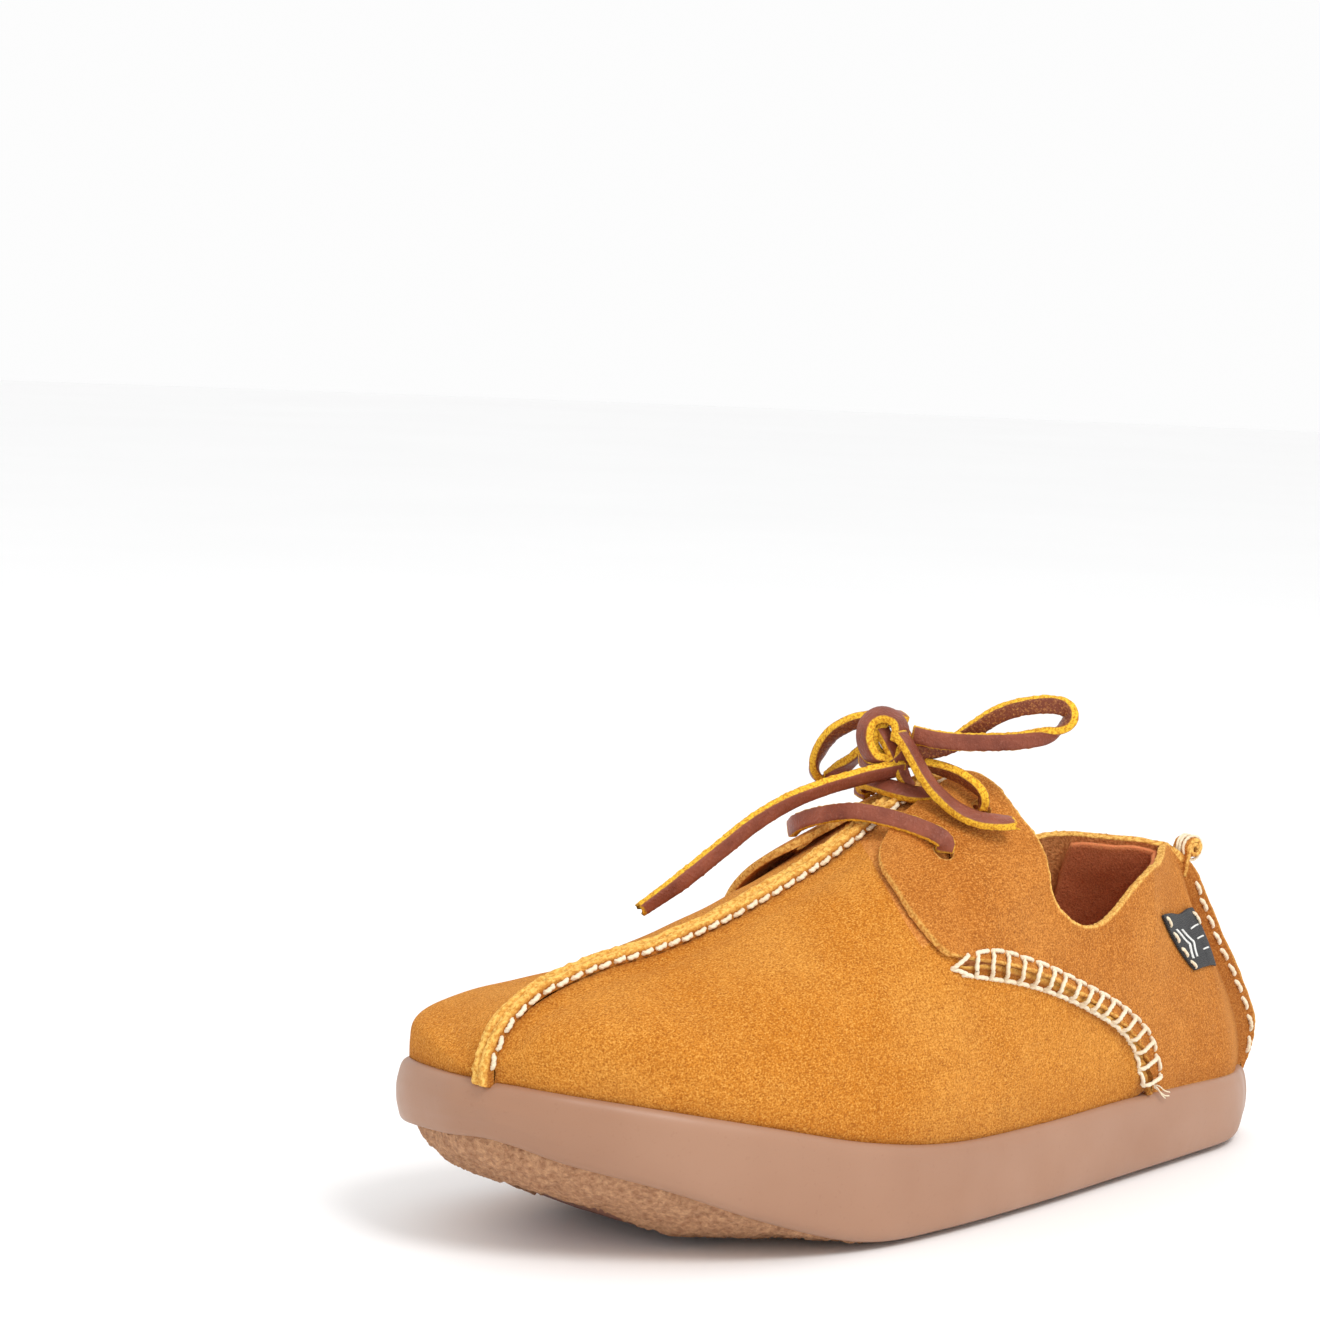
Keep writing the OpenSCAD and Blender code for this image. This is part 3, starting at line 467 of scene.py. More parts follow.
def wall(side, s, v):
    s, v = np.broadcast_arrays(np.clip(np.asarray(s, float), 0, 1), np.asarray(v, float))
    q, n, tau = sole_at(side, s), outward(side, s), along(PLACES, s * STATIONS)
    toe, heel = np.clip(1 - s / TOE_SHARE, 0, 1), np.clip((tau - HEEL_FROM) / HEEL_PLACES, 0, 1)
    roof = TOE_DROOP * np.clip((ROOF_SHARE - s) / (ROOF_SHARE - ROOF_FULL), 0, 1)
    inset = RIM_INSET + TOE_INSET * np.clip(1 - s / INSET_SHARE, 0, 1)
    foot = np.stack([q[..., 0] - n[..., 0] * inset, q[..., 1] - n[..., 1] * inset, q[..., 2] + FOOT_GAP], -1)
    head = top_at(tau)
    climb = np.maximum(head[..., 2] - foot[..., 2], 0)
    rise = climb * (CLIMB_SHARE + TOE_FULL * toe - CLIMB_HEEL * heel)
    full = np.minimum(1, np.linalg.norm(head - foot, axis=-1) / FULL_HEIGHT)
    out = BULGE * full * (1 - HEEL_FLAT * heel)
    reach = np.abs(foot[..., 1] - head[..., 1]) * (REACH_SHARE + TOE_ROUND * toe - HEEL_TUCK * heel)
    a = foot + np.stack([n[..., 0] * out, n[..., 1] * out, rise], -1)
    droop = np.minimum(reach * roof, climb * DROOP_SHARE)
    b = head + np.stack([reach * HEEL_KEEL * heel, side * reach, -droop], -1)
    u, v = (1 - v)[..., None], v[..., None]
    return u ** 3 * foot + 3 * u * u * v * a + 3 * u * v * v * b + v ** 3 * head


def wall_normal(side, s, v):
    e = 0.004
    s, v = np.broadcast_arrays(np.asarray(s, float), np.asarray(v, float))
    ds = wall(side, np.minimum(s + e, 1), v) - wall(side, np.maximum(s - e, 0), v)
    dv = wall(side, s, np.minimum(v + e, 1)) - wall(side, s, np.maximum(v - e, 0))
    return side * unit(np.cross(ds, dv))


def off_seam(side, p, least):
    q = p.copy()
    q[..., 1] = SEAM_Y + side * np.maximum(side * (p[..., 1] - SEAM_Y), least)
    return q


# ---------------------------------------------------------------- lace: flat thongs
BODY_W, BODY_T = 4.5, 2.3
# Lace routes in mm.
LOWER_BAR = [[8.8, 26.6, 93.4], [9.8, 27.2, 96.2], [12.5, 21.5, 98.6], [17, 13, 100.6], [21, 5, 101.2],
             [24, -4, 99.2], [24.5, -11, 96.6], [21.5, -17, 93.8]]
UPPER_BAR = [[-9.2, 22, 102.8], [-8.4, 22.6, 106.4], [-7, 17.5, 109.6], [-5, 12, 111.4], [-2, 5, 112.4],
             [-3, -3, 111], [-3, -9, 107.5], [-1.6, -13, 103.6]]
LOOP_REAR = [[2, 6.5, 120.5], [-2, 13, 119.5], [-8, 20, 119.5], [-14, 27, 120.3],
             [-19, 33, 122], [-22, 36.8, 124.6], [-23, 38.6, 127.8], [-21.4, 36, 130.2],
             [-17.5, 29, 129.6], [-13.5, 22, 126.8], [-10.5, 16, 122], [-7.5, 12.5, 118.5],
             [-3.5, 9, 116.5], [0.5, 6, 115.5]]
LOOP_FRONT = [[6, -5, 123.5], [8, -10, 122], [9, -16, 118.5], [8, -21.5, 113.5], [6, -25.5, 108],
              [3, -26.8, 104.8], [1, -24.6, 105.2], [1, -19.5, 109], [2, -13, 113], [3, -7.5, 116.5]]
TAIL_LONG = [[4, 5.6, 111.8], [10.5, 3.2, 110.6], [18, 0.5, 108.8], [26, -1, 107], [36, -2, 104.2],
             [46, -4, 99.3], [56, -7, 91.8], [66, -10, 84.2], [76, -13, 77.5]]
TAIL_SHORT = [[7.4, 6.8, 121], [6.8, 9.2, 118.4], [5.8, 11.6, 114.6], [4.6, 14.4, 110.2], [3.6, 18, 106.6],
              [1.5, 23.3, 102.8], [-2.6, 27, 100.6], [-7.5, 29.5, 99.9], [-12.3, 30.2, 99.6]]
# Round the thong's section: place across the width, place through the thickness, cut edge, flesh side.
SECTION = [(-0.92, 1.0, 0, 0), (-0.5, 1.08, 0, 0), (0, 1.12, 0, 0), (0.5, 1.08, 0, 0), (0.92, 1.0, 0, 0),
           (1.0, 0.75, 1, 0), (1.04, 0, 1, 0), (1.0, -0.75, 1, 0), (0.92, -1.0, 0, 1), (0.5, -1.0, 0, 1),
           (0, -0.98, 0, 1), (-0.5, -1.0, 0, 1), (-0.92, -1.0, 0, 1), (-1.0, -0.75, 1, 0), (-1.04, 0, 1, 0),
           (-1.0, 0.75, 1, 0)]


def thong(name, route, hints, cad=(), width=BODY_W, thick=BODY_T, ragged=0.0, taper=None):
    """A flat thong along a route; hints give the way its smooth side faces at even places along it."""
    line, share = smooth_route(route, 0.7)
    tangent = unit(np.gradient(line, axis=0))
    face = along(extend(hints), share * (len(hints) - 1))
    face = unit(face - (face * tangent).sum(-1, keepdims=True) * tangent)
    across = np.cross(tangent, face)
    sec = np.array(SECTION)
    half_w = np.full(len(line), width / 2)
    if taper is not None:
        half_w = half_w * np.interp(share, *taper)
    ring = (line[:, None] + across[:, None] * sec[None, :, 0, None] * half_w[:, None, None]
            + face[:, None] * sec[None, :, 1, None] * thick / 2)
    rough = fuzz(ring, 0.9, 0.16, 3.0) * (0.25 + sec[None, :, 2] + 0.5 * sec[None, :, 3])
    ring = ring + unit(ring - line[:, None]) * rough[..., None]
    if ragged:
        reach = fuzz(ring[-1], 0.8, ragged, 7.0)
        for back in range(4):
            ring[-1 - back] += tangent[-1] * (reach * (1 - back / 4))[:, None]
    tone = np.zeros(ring.shape)
    tone[..., 0], tone[..., 1] = sec[None, :, 2], sec[None, :, 3]
    tone[0, :, 0] = tone[-1, :, 0] = 1
    faces = tube_faces(len(line), len(SECTION))
    obj = piece(name, ring.reshape(-1, 3), faces, "thong", cad, tone.reshape(-1, 3))
    return obj, line


RIGHT = np.array((-0.754, 0.656, 0.04))
UP = np.array((-0.037, -0.103, 0.994))
NEAR = np.array((0.656, 0.748, 0.102))


def facing(*parts):
    """Directions given as (to the right, up, towards the front quarter the shoe is seen from)."""
    return [RIGHT * r + UP * u + NEAR * d for r, u, d in parts]


def add_lace():
    thong("lace_bar_lower", LOWER_BAR,
          facing((0.0, 0.35, 1), (0.0, 0.35, 1), (0, 0.25, 1), (0, 0.2, 1), (-0.2, 0.15, 1),
                 (-0.5, 0.2, 0.9)),
          ["lace_lower_bar"])
    thong("lace_bar_upper", UPPER_BAR,
          facing((0.9, 0.2, 0.1), (0.7, 0.6, -0.3), (0.2, 1, -0.4), (-0.1, 1, 0.2), (-0.3, 0.4, 0.8)),
          ["lace_upper_bar"])
    rear = thong("lace_bow_rear", LOOP_REAR,
                 facing((0, -0.1, 1), (0, -0.12, 1), (0.1, -0.15, 1), (0.35, -0.2, 0.9), (1, 0, 0.1),
                        (0.3, 0.3, -0.9), (-0.1, 0.45, -1), (-0.1, 0.45, -1), (0, 0.4, -1), (0, 0.4, -1)),
                 ["lace_loop_rear"])
    front = thong("lace_bow_front", LOOP_FRONT,
                  facing((-0.3, 0.6, -0.7), (-0.4, 0.5, -0.7), (-0.7, 0.2, -0.6), (-0.6, -0.8, 0.2),
                         (0.5, -0.4, 0.7), (0.5, -0.3, 0.7)),
                  ["lace_loop_front"])
    long_tail = thong("lace_end_long", TAIL_LONG,
                      facing((0, -0.75, 0.9), (0, -0.7, 0.9), (0.1, -0.6, 1), (0.15, -0.5, 1),
                             (0.15, -0.45, 1)),
                      ["lace_tail_long"], ragged=1.0, taper=([0, 0.85, 1], [1, 1, 0.72]))
    short_tail = thong("lace_end_short", TAIL_SHORT,
                       facing((0.75, 0.5, 0.6), (0.8, 0.45, 0.6), (0.65, 0.6, 0.6), (0.2, 0.75, 0.6),
                              (0, 0.8, 0.5)),
                       ["lace_tail_short"], ragged=1.4, taper=([0, 0.9, 1], [1, 1, 0.85]))
    # The knot: a band over the top, a strand down through it, and the turns beneath.
    low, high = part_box("lace_knot")
    k = np.array((low + high) / 2) / MM

    def at(*places):
        return [k + p for p in facing(*places)]

    thong("knot_arch",
          at((-0.2, -7.2, 2.0), (-3.8, -6.0, 3.2), (-5.9, -1.6, 3.6), (-5.2, 2.8, 3.4), (-2.0, 5.0, 3.0),
             (1.4, 4.2, 3.2), (3.2, 1.6, 4.6), (2.6, -2.2, 5.4)),
          facing((-0.3, -0.8, 0.5), (-0.7, -0.5, 0.5), (-0.9, 0.1, 0.5), (-0.6, 0.7, 0.5), (0.1, 0.9, 0.5),
                 (0.7, 0.6, 0.5), (0.9, 0.2, 0.5)),
          ["lace_knot"], width=5.0, thick=2.5)
    thong("knot_through",
          at((-3.2, 2.2, -1.5), (-1.6, 1.2, 1.6), (0.2, -2.4, 3.0), (2.4, -7.0, 3.2), (4.8, -12.4, 2.2),
             (7.2, -14.6, -0.5)),
          facing((-0.2, 0.9, 0.4), (0.4, 0.5, 0.8), (0.7, 0.1, 0.8), (0.7, 0.1, 0.8), (0.6, 0.4, 0.7)),
          width=3.6, taper=([0, 0.7, 1], [1, 1, 0.6]))
    thong("knot_core",
          at((4.5, 4.0, -2.0), (1.0, 4.4, 0.0), (-3.0, 1.5, 0.8), (-4.0, -3.0, 0.4), (-0.5, -6.8, 0.0),
             (4.0, -5.0, 0.2), (6.0, -2.0, 1.0)),
          facing((0.4, 0.9, 0.2), (-0.4, 0.8, 0.3), (-0.9, 0.2, 0.3), (-0.5, -0.8, 0.3), (0.5, -0.8, 0.4),
                 (0.9, -0.2, 0.4)),
          width=5.0, thick=2.6)
    thong("knot_back",
          at((-5.5, 1.0, -2.5), (-2.0, 3.4, -3.5), (2.5, 2.6, -3.6), (5.5, -0.5, -2.6), (6.8, -3.6, -0.6)),
          facing((-0.5, 0.7, -0.5), (0, 1, -0.3), (0.5, 0.8, -0.2), (0.9, 0.3, 0.3)), width=4.6)
    thong("knot_wrap",
          at((5.6, -0.6, 2.4), (4.4, -4.6, 3.2), (1.2, -7.6, 2.8), (-3.6, -8.4, 1.2), (-6.4, -6.4, -1.6)),
          facing((0.8, 0.2, 0.6), (0.5, -0.4, 0.8), (0, -0.8, 0.7), (-0.5, -0.6, 0.6)), width=4.4)
    thong("lace_cross",
          [[-0.8, -14, 101.5], [0.4, -13, 104.2], [3.4, -9.5, 106], [7.4, -3, 107], [7.8, 4, 106.6],
           [4.6, 9.5, 105.4], [0.6, 12.5, 105.2]],
          facing((-0.6, 0.3, 0.7), (-0.4, 0.6, 0.8), (-0.1, 0.7, 0.9), (0.1, 0.7, 0.9), (0.4, 0.8, 0.6)),
          width=4.4)


add_lace()


# ---------------------------------------------------------------- upper
RUNGS = 18


def seam_distance(side, points):
    """Distance in mm to the middle of the ladder seam, and the share along it."""
    t = np.linspace(0, 1, 260)
    place = along(extend(LADDER_MID), t * (len(LADDER_MID) - 1))
    line = wall(side, place[..., 0], np.clip(place[..., 1], 0, 1))
    flat = points.reshape(-1, 3)
    best = np.full(len(flat), 1e9)
    where = np.zeros(len(flat))
    for i in range(0, len(flat), 20000):
        d = np.linalg.norm(flat[i:i + 20000, None] - line[None], axis=-1)
        j = d.argmin(1)
        best[i:i + 20000] = d[np.arange(len(j)), j]
        where[i:i + 20000] = t[j]
    return best.reshape(points.shape[:-1]), where.reshape(points.shape[:-1])


def unevenness(points):
    return fuzz(points, 34, 0.55, 11.0) + fuzz(points, 13, 0.22, 5.0)


def seam_bump(side, points, height, width):
    """How far the leather stands out along the ladder seam, pulled down where each rung crosses."""
    d, t = seam_distance(side, points)
    beat = (t * (RUNGS - 1) + 0.5) % 1 - 0.5
    pull = 1 - 0.38 * np.exp(-(beat / 0.2) ** 2)
    ends = np.clip((1.04 - t) / 0.08, 0.35, 1)
    return height * pull * ends * np.exp(-(d / width) ** 2), d, t


def cut_edges(tone, points, reach=0.55):
    """Marks the red tone near the two cut edges of each row of an outer or inner grid."""
    step = np.linalg.norm(np.diff(points, axis=1), axis=-1)
    run = np.concatenate([np.zeros((len(points), 1)), np.cumsum(step, axis=1)], axis=1)
    tone[..., 0] = np.maximum(tone[..., 0], np.exp(-(run / reach) ** 2))
    tone[..., 0] = np.maximum(tone[..., 0], np.exp(-((run[:, -1:] - run) / reach) ** 2))


def tongue_sink(x):
    """How far the tongue's end drops, behind the facings, at places x along the shoe."""
    return 4.5 * np.clip((1 - np.asarray(x)) / 27, 0, 1) ** 1.4


def vamp(side, name, cad):
    rows, cols = 360, 84
    table = extend([[s, 0, s, 0.5, s, 1] for s in [0.002] + TOE_SECTIONS] + VAMP_BACK)
    row = along(table, np.linspace(0, len(table) - 3, rows))
    # Finer towards the seam plane.
    w = np.linspace(0, 1, cols + 1) ** 0.85
    a, b, c = (1 - w) * (1 - 2 * w), 4 * w * (1 - w), w * (2 * w - 1)
    S = row[:, 0:1] * a + row[:, 2:3] * b + row[:, 4:5] * c
    V = np.clip(row[:, 1:2] * a + row[:, 3:4] * b + row[:, 5:6] * c, 0, 1)
    P, N = wall(side, S, V), wall_normal(side, S, V)
    bump, d, t = seam_bump(side, P, 1.7, 2.6)
    fade = np.clip((1 - V) / 0.12, 0, 1) * np.clip(V / 0.1, 0, 1)
    # A shallow hollow on each side of the centre seam, and creases where the forefoot bends.
    gap = side * (P[..., 1] - SEAM_Y)
    hollow = -0.7 * np.exp(-((gap - 5.5) / 3.0) ** 2) * np.clip((S - 0.05) / 0.1, 0, 1)
    lift = unevenness(P) * fade + bump + hollow
    sink = tongue_sink(P[:, -1, 0])[:, None, None] * np.array([0, 0, 1])
    outer = P + N * lift[..., None] - sink
    inner = P + N * (lift - SUEDE_T)[..., None] - sink
    # The wall turns up into the raised edge.
    up = top_normal(along(PLACES, S * STATIONS))
    fillet = 1.1 * np.exp(-np.maximum(gap - RIDGE_W, 0) / 1.0) * np.clip(gap / RIDGE_W, 0, 1)
    outer = off_seam(side, outer + up * fillet[..., None], RIDGE_W)
    inner = off_seam(side, inner, 0.15)
    tuck = 1.3 * np.clip(1 - V / 0.035, 0, 1) + 2.6 * V * np.clip(1 - np.arange(rows) / 14, 0, 1)[:, None]
    outer, inner = outer - tuck[..., None] * [0, 0, 1], inner - tuck[..., None] * [0, 0, 1]
    head_up = top_normal(along(PLACES, S[:, -1] * STATIONS))
    head_up = head_up * np.clip((rows - 1 - np.arange(rows)) / 26, 0.12, 1)[:, None]
    wave = fuzz(outer[:, -1], 9, 0.35, 2.0)
    ridge = []
    for height, y in ((0.35, RIDGE_W), (0.65, RIDGE_W), (0.86, RIDGE_W + 0.05), (0.97, RIDGE_W - 0.15),
                      (1.03, RIDGE_W - 0.7), (1.05, RIDGE_W - 1.3), (1.02, 0.75), (0.93, 0.3), (0.6, 0.12)):
        p = outer[:, -1] + head_up * (RIDGE_H * height + wave * height - 0.6)[:, None]
        p[:, 1] = SEAM_Y + side * y
        if height > 0.8:
            p = p + head_up * fuzz(p, 1.1, 0.35, height * 9)[:, None]
            p[:, 1] += side * np.abs(fuzz(p, 1.3, 0.25, 4.0 + height)) * (0.2 if y < 1 else 1.0)
        ridge.append(p)
    ridge = np.stack(ridge, 1)
    foot_edge = np.stack([outer[:, 0] * (1 - k) + inner[:, 0] * k for k in (0.85, 0.5, 0.15)], 1)
    loops = np.concatenate([outer, ridge, inner[:, ::-1], foot_edge], 1)
    tone = np.zeros(loops.shape)
    n_out, n_ridge = cols + 1, ridge.shape[1]
    tone[:, n_out + 3:n_out + n_ridge, 0] = 1
    tone[:, n_out + 2, 0] = 0.5
    tone[:, n_out + n_ridge:n_out * 2 + n_ridge, 1] = 1
    # Painted shade: the stitch channel at the ridge's foot, the vamp's side of the ladder seam, and a band
    # along the sole.
    channel = 0.62 * np.exp(-np.maximum(gap - RIDGE_W, 0) / 0.8)
    ladder_dark = 0.85 * np.exp(-((d - 1.9) / 1.3) ** 2) * (t > 0.003)
    painted_shade_low = 0.22 * np.exp(-(V / 0.05) ** 2)
    tone[:, :n_out, 2] = np.maximum(np.maximum(channel, ladder_dark), painted_shade_low)
    tone[:, n_out:n_out + 2, 2] = 0.5
    behind = row[:, 4] > 0.505
    tone[:, :n_out, 1] = np.where(behind[:, None] & (V > 0.5), 0.35, 0)
    edge_near = np.exp(-(d / 0.45) ** 2) * (row[:, 1:2] > 0.005) * (np.linspace(0, 1, n_out)[None] < 0.12)
    tone[:, :n_out, 0] = np.maximum(tone[:, :n_out, 0], edge_near)
    back_edge = slice(len(row) - 150, None)
    sub = tone[back_edge, :n_out]
    cut = np.zeros_like(sub)
    cut_edges(cut, outer[back_edge])
    sub[..., 0] = np.maximum(sub[..., 0], np.where(np.linspace(0, 1, n_out)[None] < 0.3, cut[..., 0], 0))
    tone[:, -3:, 0] = 1
    piece(name, loops.reshape(-1, 3), loop_faces_any(rows, loops.shape[1], 3), "suede", cad,
          tone.reshape(-1, 3))


def loop_faces_any(rows, k, tail):
    """Loop faces whose last points (tail) close the foot edge, so the end strips skip them."""
    faces = loop_faces(rows, k)
    body = k - tail
    for o in (0, (rows - 1) * k):
        faces += [(o + j, o + j + 1, o + body - 2 - j, o + body - 1 - j) for j in range(body // 2 - 1)]
        faces.append(tuple([o] + [o + k - 1 - j for j in range(tail)] + [o + body - 1]))
    return faces


def quarter(side, name, cad):
    rows, cols = 340, 66
    table = extend(QUARTER + [[0.999, 0, 0.999, 1, 0, 1]])
    k_row = np.linspace(0, len(QUARTER), rows)
    row = along(table, k_row)
    share = np.clip(row[:, 4], 0, 1)
    reach = (MEDIAL_REACH * np.clip(2.5 * row[:, 4] - 1.5, 0, 1)) if side < 0 else np.zeros(rows)
    w = np.linspace(0, 1, cols + 1)
    w = w - 0.06 * np.sin(2 * np.pi * w)
    S = (row[:, 0] - reach)[:, None] * (1 - w) + row[:, 2:3] * w
    high = row[:, 3] + (MEDIAL_RISE * np.interp(k_row, [14, 16, 17.5, 19], [0, 1, 1, 0]) if side < 0 else 0)
    V = np.clip(row[:, 1:2] * (1 - w) + high[:, None] * w, 0, 1)
    P, N = wall(side, S, V), wall_normal(side, S, V)
    bump = seam_bump(side, P, 2.6, 2.5)[0] * (1 - 0.75 * share[:, None])
    seam = np.clip((row[:, 5] - 0.2) / 0.6, 0, 1)
    near = np.exp(-(w[None] / 0.35) ** 2)
    # The facing's front edge stands off the vamp, more on the inner side of the foot.
    gape = (2.2 if side < 0 else 0.5) * near * (np.exp(-((k_row - 3.6) / 2.2) ** 2))[:, None]
    collar = np.clip((k_row - 6) / 3, 0, 1)[:, None]
    flare = 0.9 * np.exp(-((1 - w[None]) / 0.12) ** 2) * collar * (1 - seam[:, None])
    even = unevenness(P) * (1 - 0.7 * seam[:, None]) * np.clip(V / 0.08, 0, 1)
    lift = even + bump + (SUEDE_T + 0.3) * share[:, None] + gape + flare
    outer, inner = P + N * lift[..., None], P + N * (lift - SUEDE_T)[..., None]
    least = 0.15 * (1 - seam) + RIDGE_W * seam
    tuck = np.array([0, 0, 1.3]) * (np.clip(1 - V / 0.035, 0, 1) * (w[None] < 0.5))[..., None]
    last_rows = np.clip(1 - (rows - 1 - np.arange(rows)) / 16, 0, 1)[:, None]
    drop = [0, 0, 1] * (2.2 * w[None] ** 2 * last_rows)[..., None]
    outer = off_seam(side, outer, least[:, None]) - tuck - drop
    inner = off_seam(side, inner, 0.15) - tuck - drop
    # Upper edge: the fin at the heel, and a plain cut edge elsewhere.
    step = unit(outer[:, -1] - outer[:, -3])
    up = unit(step * (1 - seam[:, None]) + top_normal(along(PLACES, row[:, 2] * STATIONS)) * seam[:, None])
    fin = FIN_H * np.clip(row[:, 5], 0, 1) * np.clip(0.1 + (rows - 1 - np.arange(rows)) / 30, 0, 1) ** 0.7
    edge = []
    for h, m in ((0.4, 0.0), (0.75, 0.0), (0.95, 0.04), (1.04, 0.25), (1.07, 0.5), (1.03, 0.8), (0.9, 0.97),
                 (0.5, 1.0)):
        p = outer[:, -1] * (1 - m) + inner[:, -1] * m + up * (fin * h)[:, None]
        p = p + up * (fuzz(p, 1.2, 0.3, h * 7) * (h > 0.8))[:, None]
        p[:, 1] = SEAM_Y + side * np.maximum(side * (p[:, 1] - SEAM_Y), least * (1 - m) + 0.12)
        edge.append(p)
    edge = np.stack(edge, 1)
    low_edge = []
    away = unit(outer[:, 0] - outer[:, 2])
    ladder_part = np.clip((k_row - 8.3) / 0.8, 0, 1) * (V[:, 0] > 0.012)
    for m in (0.9, 0.6, 0.3, 0.1):
        p = outer[:, 0] * (1 - m) + inner[:, 0] * m
        bow = 0.3 * (1 - (2 * m - 1) ** 2) + 0.55 * ladder_part
        low_edge.append(p + away * (bow + fuzz(p, 1.1, 0.22, m * 5) * (V[:, 0] > 0.02))[:, None])
    low_edge = np.stack(low_edge, 1)
    loops = np.concatenate([outer, edge, inner[:, ::-1], low_edge], 1)
    tone = np.zeros(loops.shape)
    n = cols + 1
    m = edge.shape[1]
    cut_edges(tone[:, :n], outer, 0.32)
    tone[:, :n, 0] *= np.interp(k_row, [0, 7, 10], [0.5, 0.5, 1])[:, None]
    tone[:, :n, 0] *= np.where((w[None] > 0.5) & (seam[:, None] > 0.5), 0, 1)
    tone[:, n:n + m, 0] = np.where(seam[:, None] > 0.5, np.array([0, 0, 0.6, 1, 1, 1, 1, 1])[None], 1)
    tone[:, n + m:2 * n + m, 1] = 1
    tone[:, 2 * n + m:, 0] = (1 - 0.55 * np.clip((k_row - 8.3) / 0.8, 0, 1))[:, None]
    # Painted shade beside the heel seam, as the leather turns in to it, at the foot of the fin, and in a band
    # along the sole.
    gap = side * (outer[..., 1] - SEAM_Y)
    turn = np.exp(-np.maximum(gap - RIDGE_W, 0) / 2.2) * seam[:, None]
    tone[:, :n, 2] = np.maximum(0.5 * turn, 0.25 * np.exp(-(V / 0.04) ** 2))
    tone[:, n:n + 2, 2] = 0.45 * seam[:, None]
    obj = piece(name, loops.reshape(-1, 3), loop_faces_any(rows, loops.shape[1], 4), "facing", cad,
                tone.reshape(-1, 3))
    for s, v in EYELETS:
        s = s - (MEDIAL_REACH if side < 0 else 0)
        p, n3 = wall(side, s, v), wall_normal(side, s, v)
        bpy.ops.mesh.primitive_cylinder_add(vertices=28, radius=0.0027, depth=0.016,
                                            location=tuple(p * MM + n3 * 0.003))
        tool = bpy.context.object
        tool.rotation_mode = "QUATERNION"
        tool.rotation_quaternion = Vector(n3).to_track_quat("Z", "Y")
        cut = obj.modifiers.new("eyelet", "BOOLEAN")
        cut.object, cut.operation, cut.solver = tool, "DIFFERENCE", "EXACT"
        with bpy.context.temp_override(object=obj, active_object=obj, selected_objects=[obj]):
            bpy.ops.object.modifier_apply(modifier="eyelet")
        bpy.data.objects.remove(tool)


vamp(1, "vamp_outer_half", ["vamp_lateral"])
vamp(-1, "vamp_inner_half", ["vamp_medial"])
quarter(1, "quarter_outer_half", ["quarter_lateral"])
quarter(-1, "quarter_inner_half", ["quarter_medial"])


# ---------------------------------------------------------------- sole
# Section of the wrapped wall: inset from the outline in mm, share of the way up from the underside to
# the rim, and rise above that in mm.
SIDEWALL = [[4.6, 0, 2.6], [4.3, 0, 1.1], [2.6, 0, 1.0], [0.9, 0, 2.2], [0.0, 0, 5], [-0.4, 0.3, 2],
            [-0.5, 0.55, 1], [-0.1, 1, -4.2], [0.7, 1, -1.5], [2.0, 1, -0.2], [3.4, 1, -0.1], [6.4, 1, -0.4],
            [7, 1, -5]]


def sole_points(side, s, inset, k, dz):
    q, n = sole_at(side, s), outward(side, s)
    low = np.maximum(q[..., 3], 0)
    return np.stack([q[..., 0] - n[..., 0] * inset, q[..., 1] - n[..., 1] * inset,
                     low + (q[..., 2] - low) * k + dz], -1)


def add_sidewall():
    half = 190
    s = np.linspace(0, 1, half + 1)
    rings = []
    for inset, k, dz in along(extend(SIDEWALL), np.linspace(0, len(SIDEWALL) - 1, 62)):
        a = sole_points(1, s, inset, k, dz)
        b = sole_points(-1, s[1:-1][::-1], inset, k, dz)
        rings.append(np.concatenate([a, b]))
    R = np.stack(rings)
    m, n = R.shape[:2]
    faces = loop_faces(m, n)
    for o in (0, (m - 1) * n):
        for j in range(half):
            quad = (o + j, o + j + 1, o + n - j - 1, o + (n - j) % n)
            faces.append(tuple(dict.fromkeys(quad)))
    faces = [f for f in faces if len(set(f)) > 2]
    piece("sole_wall", R.reshape(-1, 3), faces, "sidewall", ["sole_sidewall"])


# Forefoot panel: its middle and half length in s, and its half width as a share of the sole's width.
PANEL_S, PANEL_REACH, PANEL_SHARE = 0.315, 0.115, 0.27
TREAD_INSET, TREAD_T = 4.9, 2.0
# Share by which the tread's middle drops to the floor, at places along the sole.
TREAD_DROP = np.array([[0, 0], [0.15, 0.25], [0.24, 0.5], [0.30, 0.85], [0.36, 0.92], [1, 0.92]])


def under_sole(s, f, inset, dz, hang=1.0):
    """Points across the sole at share f from the outer to the inner edge; hang lets the middle drop."""
    a, b = sole_points(1, s, inset, 0, 0), sole_points(-1, s, inset, 0, 0)
    p = a * (1 - f)[..., None] + b * f[..., None]
    drop = np.interp(s, TREAD_DROP[:, 0], TREAD_DROP[:, 1]) * (1 - (2 * f - 1) ** 4) * hang
    p[..., 2] = p[..., 2] * (1 - drop) + dz
    return p


